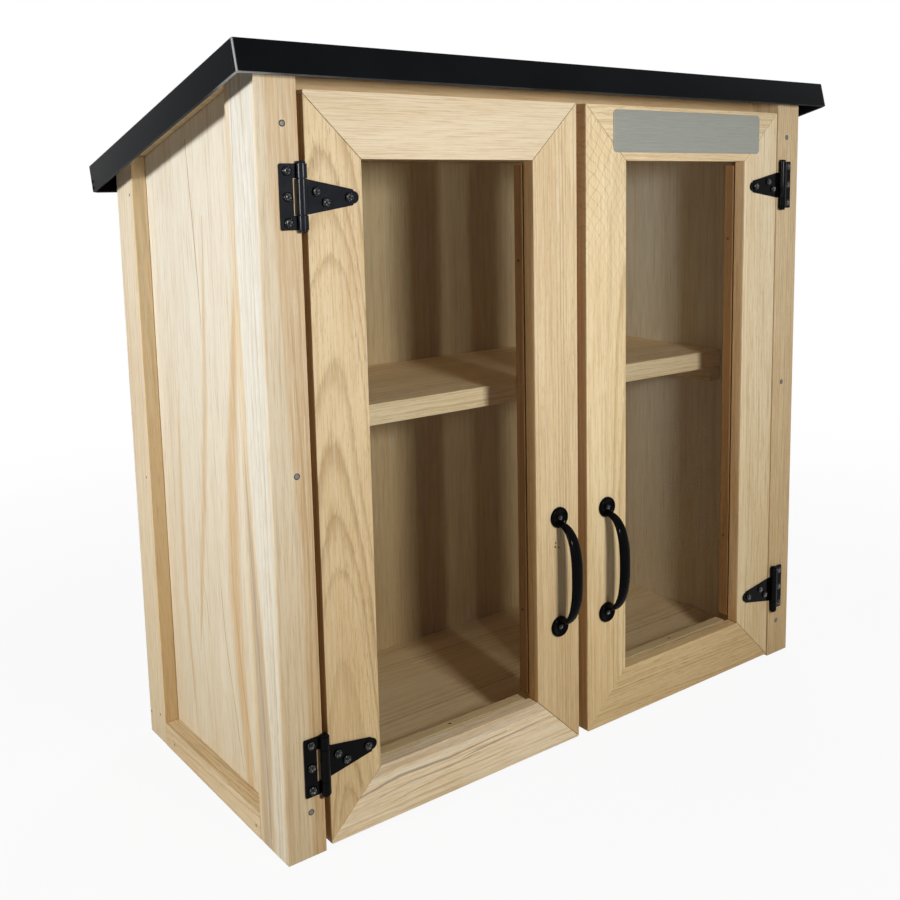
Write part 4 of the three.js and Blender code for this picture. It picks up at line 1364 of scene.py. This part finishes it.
class BOOKBOX_OT_stage(bpy.types.Operator):
    """Set the camera, the pale floor and the soft lights"""

    bl_idname = "bookbox.stage"
    bl_label = "Set the stage"

    def execute(self, context):
        stage = context.scene.book_box.stage
        self.set_camera(context.scene, stage)
        self.lay_floor(stage)
        self.light_world(context.scene, stage)
        powers = {"front": stage.front, "left": stage.side, "rear": stage.rear}
        for name, (spot, aim, size) in SOFTBOXES.items():
            self.add_softbox(name + "_softbox", spot, aim, size, powers[name])
        context.scene.view_settings.view_transform = "Standard"
        return {"FINISHED"}

    def set_camera(self, scene, stage):
        sight = Vector((
            math.sin(stage.heading) * math.cos(stage.tilt),
            math.cos(stage.heading) * math.cos(stage.tilt),
            math.sin(stage.tilt),
        ))
        right = Vector((math.cos(stage.heading), -math.sin(stage.heading), 0))
        up = right.cross(sight)
        level = Matrix((right, up, -sight)).transposed()
        turn = level @ Matrix.Rotation(stage.roll, 3, "Z")
        data = bpy.data.cameras.new("photo_camera")
        data.sensor_width = SENSOR_WIDTH
        data.lens = stage.lens
        data.shift_x, data.shift_y = stage.shift
        data.clip_start = CLIP_START
        camera = bpy.data.objects.new("photo_camera", data)
        camera.matrix_world = Matrix.Translation(stage.camera) @ turn.to_4x4()
        scene.collection.objects.link(camera)
        scene.camera = camera

    def lay_floor(self, stage):
        bm = bmesh.new()
        bmesh.ops.create_grid(bm, x_segments=1, y_segments=1, size=FLOOR_REACH)
        mesh = template("floor", bm)
        finish = Finish("floor_paper")
        x, y, z = finish.place_mm()
        mottle = finish.noise(finish.vector(x * 0.004, y * 0.004, z))
        darker = [channel * 0.985 for channel in stage.floor]
        paper = finish.shader({
            "Base Color": finish.mix(stage.floor, darker, mottle),
            "Roughness": 0.9,
            "Specular IOR Level": 0.1,
        })
        white = finish.node("ShaderNodeEmission", None, {"Color": WHITE, "Strength": 1.0})[0]
        path = finish.node("ShaderNodeLightPath")
        seen = (path[CAMERA_RAY] + path[GLOSSY_RAY] + path[TRANSMISSION_RAY]).math("MINIMUM", 1.0)
        distance = (x * x + y * y) ** 0.5
        share = distance.fade(*FLOOR_FADE) * (1 - stage.floor_glow) + stage.floor_glow
        surface = finish.node("ShaderNodeMixShader", None, {0: seen * share, 1: paper, 2: white})[0]
        mesh.materials.append(finish.done(surface))
        floor = bpy.data.objects.new("floor", mesh)
        bpy.context.scene.collection.objects.link(floor)

    def light_world(self, scene, stage):
        world = bpy.data.worlds.new("studio")
        world.use_nodes = True
        sky = Graph(world.node_tree)
        path = sky.node("ShaderNodeLightPath")
        seen = path[CAMERA_RAY].math("MAXIMUM", path[GLOSSY_RAY]).math("MAXIMUM", path[TRANSMISSION_RAY])
        lighting = {"Color": AMBIENT_COLOUR, "Strength": stage.ambient}
        light = sky.node("ShaderNodeBackground", None, lighting)[0]
        backdrop = sky.node("ShaderNodeBackground", None, {"Color": WHITE})[0]
        surface = sky.node("ShaderNodeMixShader", None, {0: seen, 1: light, 2: backdrop})[0]
        sky.node("ShaderNodeOutputWorld", None, {"Surface": surface})
        scene.world = world

    def add_softbox(self, name, spot, aim, size, power):
        data = bpy.data.lights.new(name, "AREA")
        data.shape = "SQUARE"
        data.size = size
        data.energy = power
        softbox = bpy.data.objects.new(name, data)
        softbox.location = spot
        softbox.rotation_euler = (Vector(aim) - Vector(spot)).to_track_quat("-Z", "Y").to_euler()
        bpy.context.scene.collection.objects.link(softbox)


class BOOKBOX_PT_panel(bpy.types.Panel):
    """Lists the steps that dress the box."""

    bl_label = "Book Box"
    bl_space_type = "VIEW_3D"
    bl_region_type = "UI"
    bl_category = "Book Box"

    def draw(self, context):
        for operator in OPERATORS:
            self.layout.operator(operator.bl_idname)


SETTINGS = (WoodSettings, RoofSettings, HardwareSettings, PaneSettings, StageSettings, BookBoxSettings)
OPERATORS = (
    BOOKBOX_OT_stage,
    BOOKBOX_OT_boards,
    BOOKBOX_OT_panes,
    BOOKBOX_OT_roof,
    BOOKBOX_OT_hinges,
    BOOKBOX_OT_pulls,
    BOOKBOX_OT_catches,
    BOOKBOX_OT_nails,
    BOOKBOX_OT_name_plate,
)


def register():
    for entry in (*SETTINGS, *OPERATORS, BOOKBOX_PT_panel):
        bpy.utils.register_class(entry)
    bpy.types.Scene.book_box = PointerProperty(type=BookBoxSettings)


def unregister():
    del bpy.types.Scene.book_box
    for entry in reversed((*SETTINGS, *OPERATORS, BOOKBOX_PT_panel)):
        bpy.utils.unregister_class(entry)


def main():
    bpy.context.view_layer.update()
    register()
    bpy.ops.bookbox.stage()
    bpy.ops.bookbox.boards()
    bpy.ops.bookbox.panes()
    bpy.ops.bookbox.roof()
    bpy.ops.bookbox.hinges()
    bpy.ops.bookbox.pulls()
    bpy.ops.bookbox.catches()
    bpy.ops.bookbox.nails()
    bpy.ops.bookbox.name_plate()


if __name__ == "__main__":
    main()
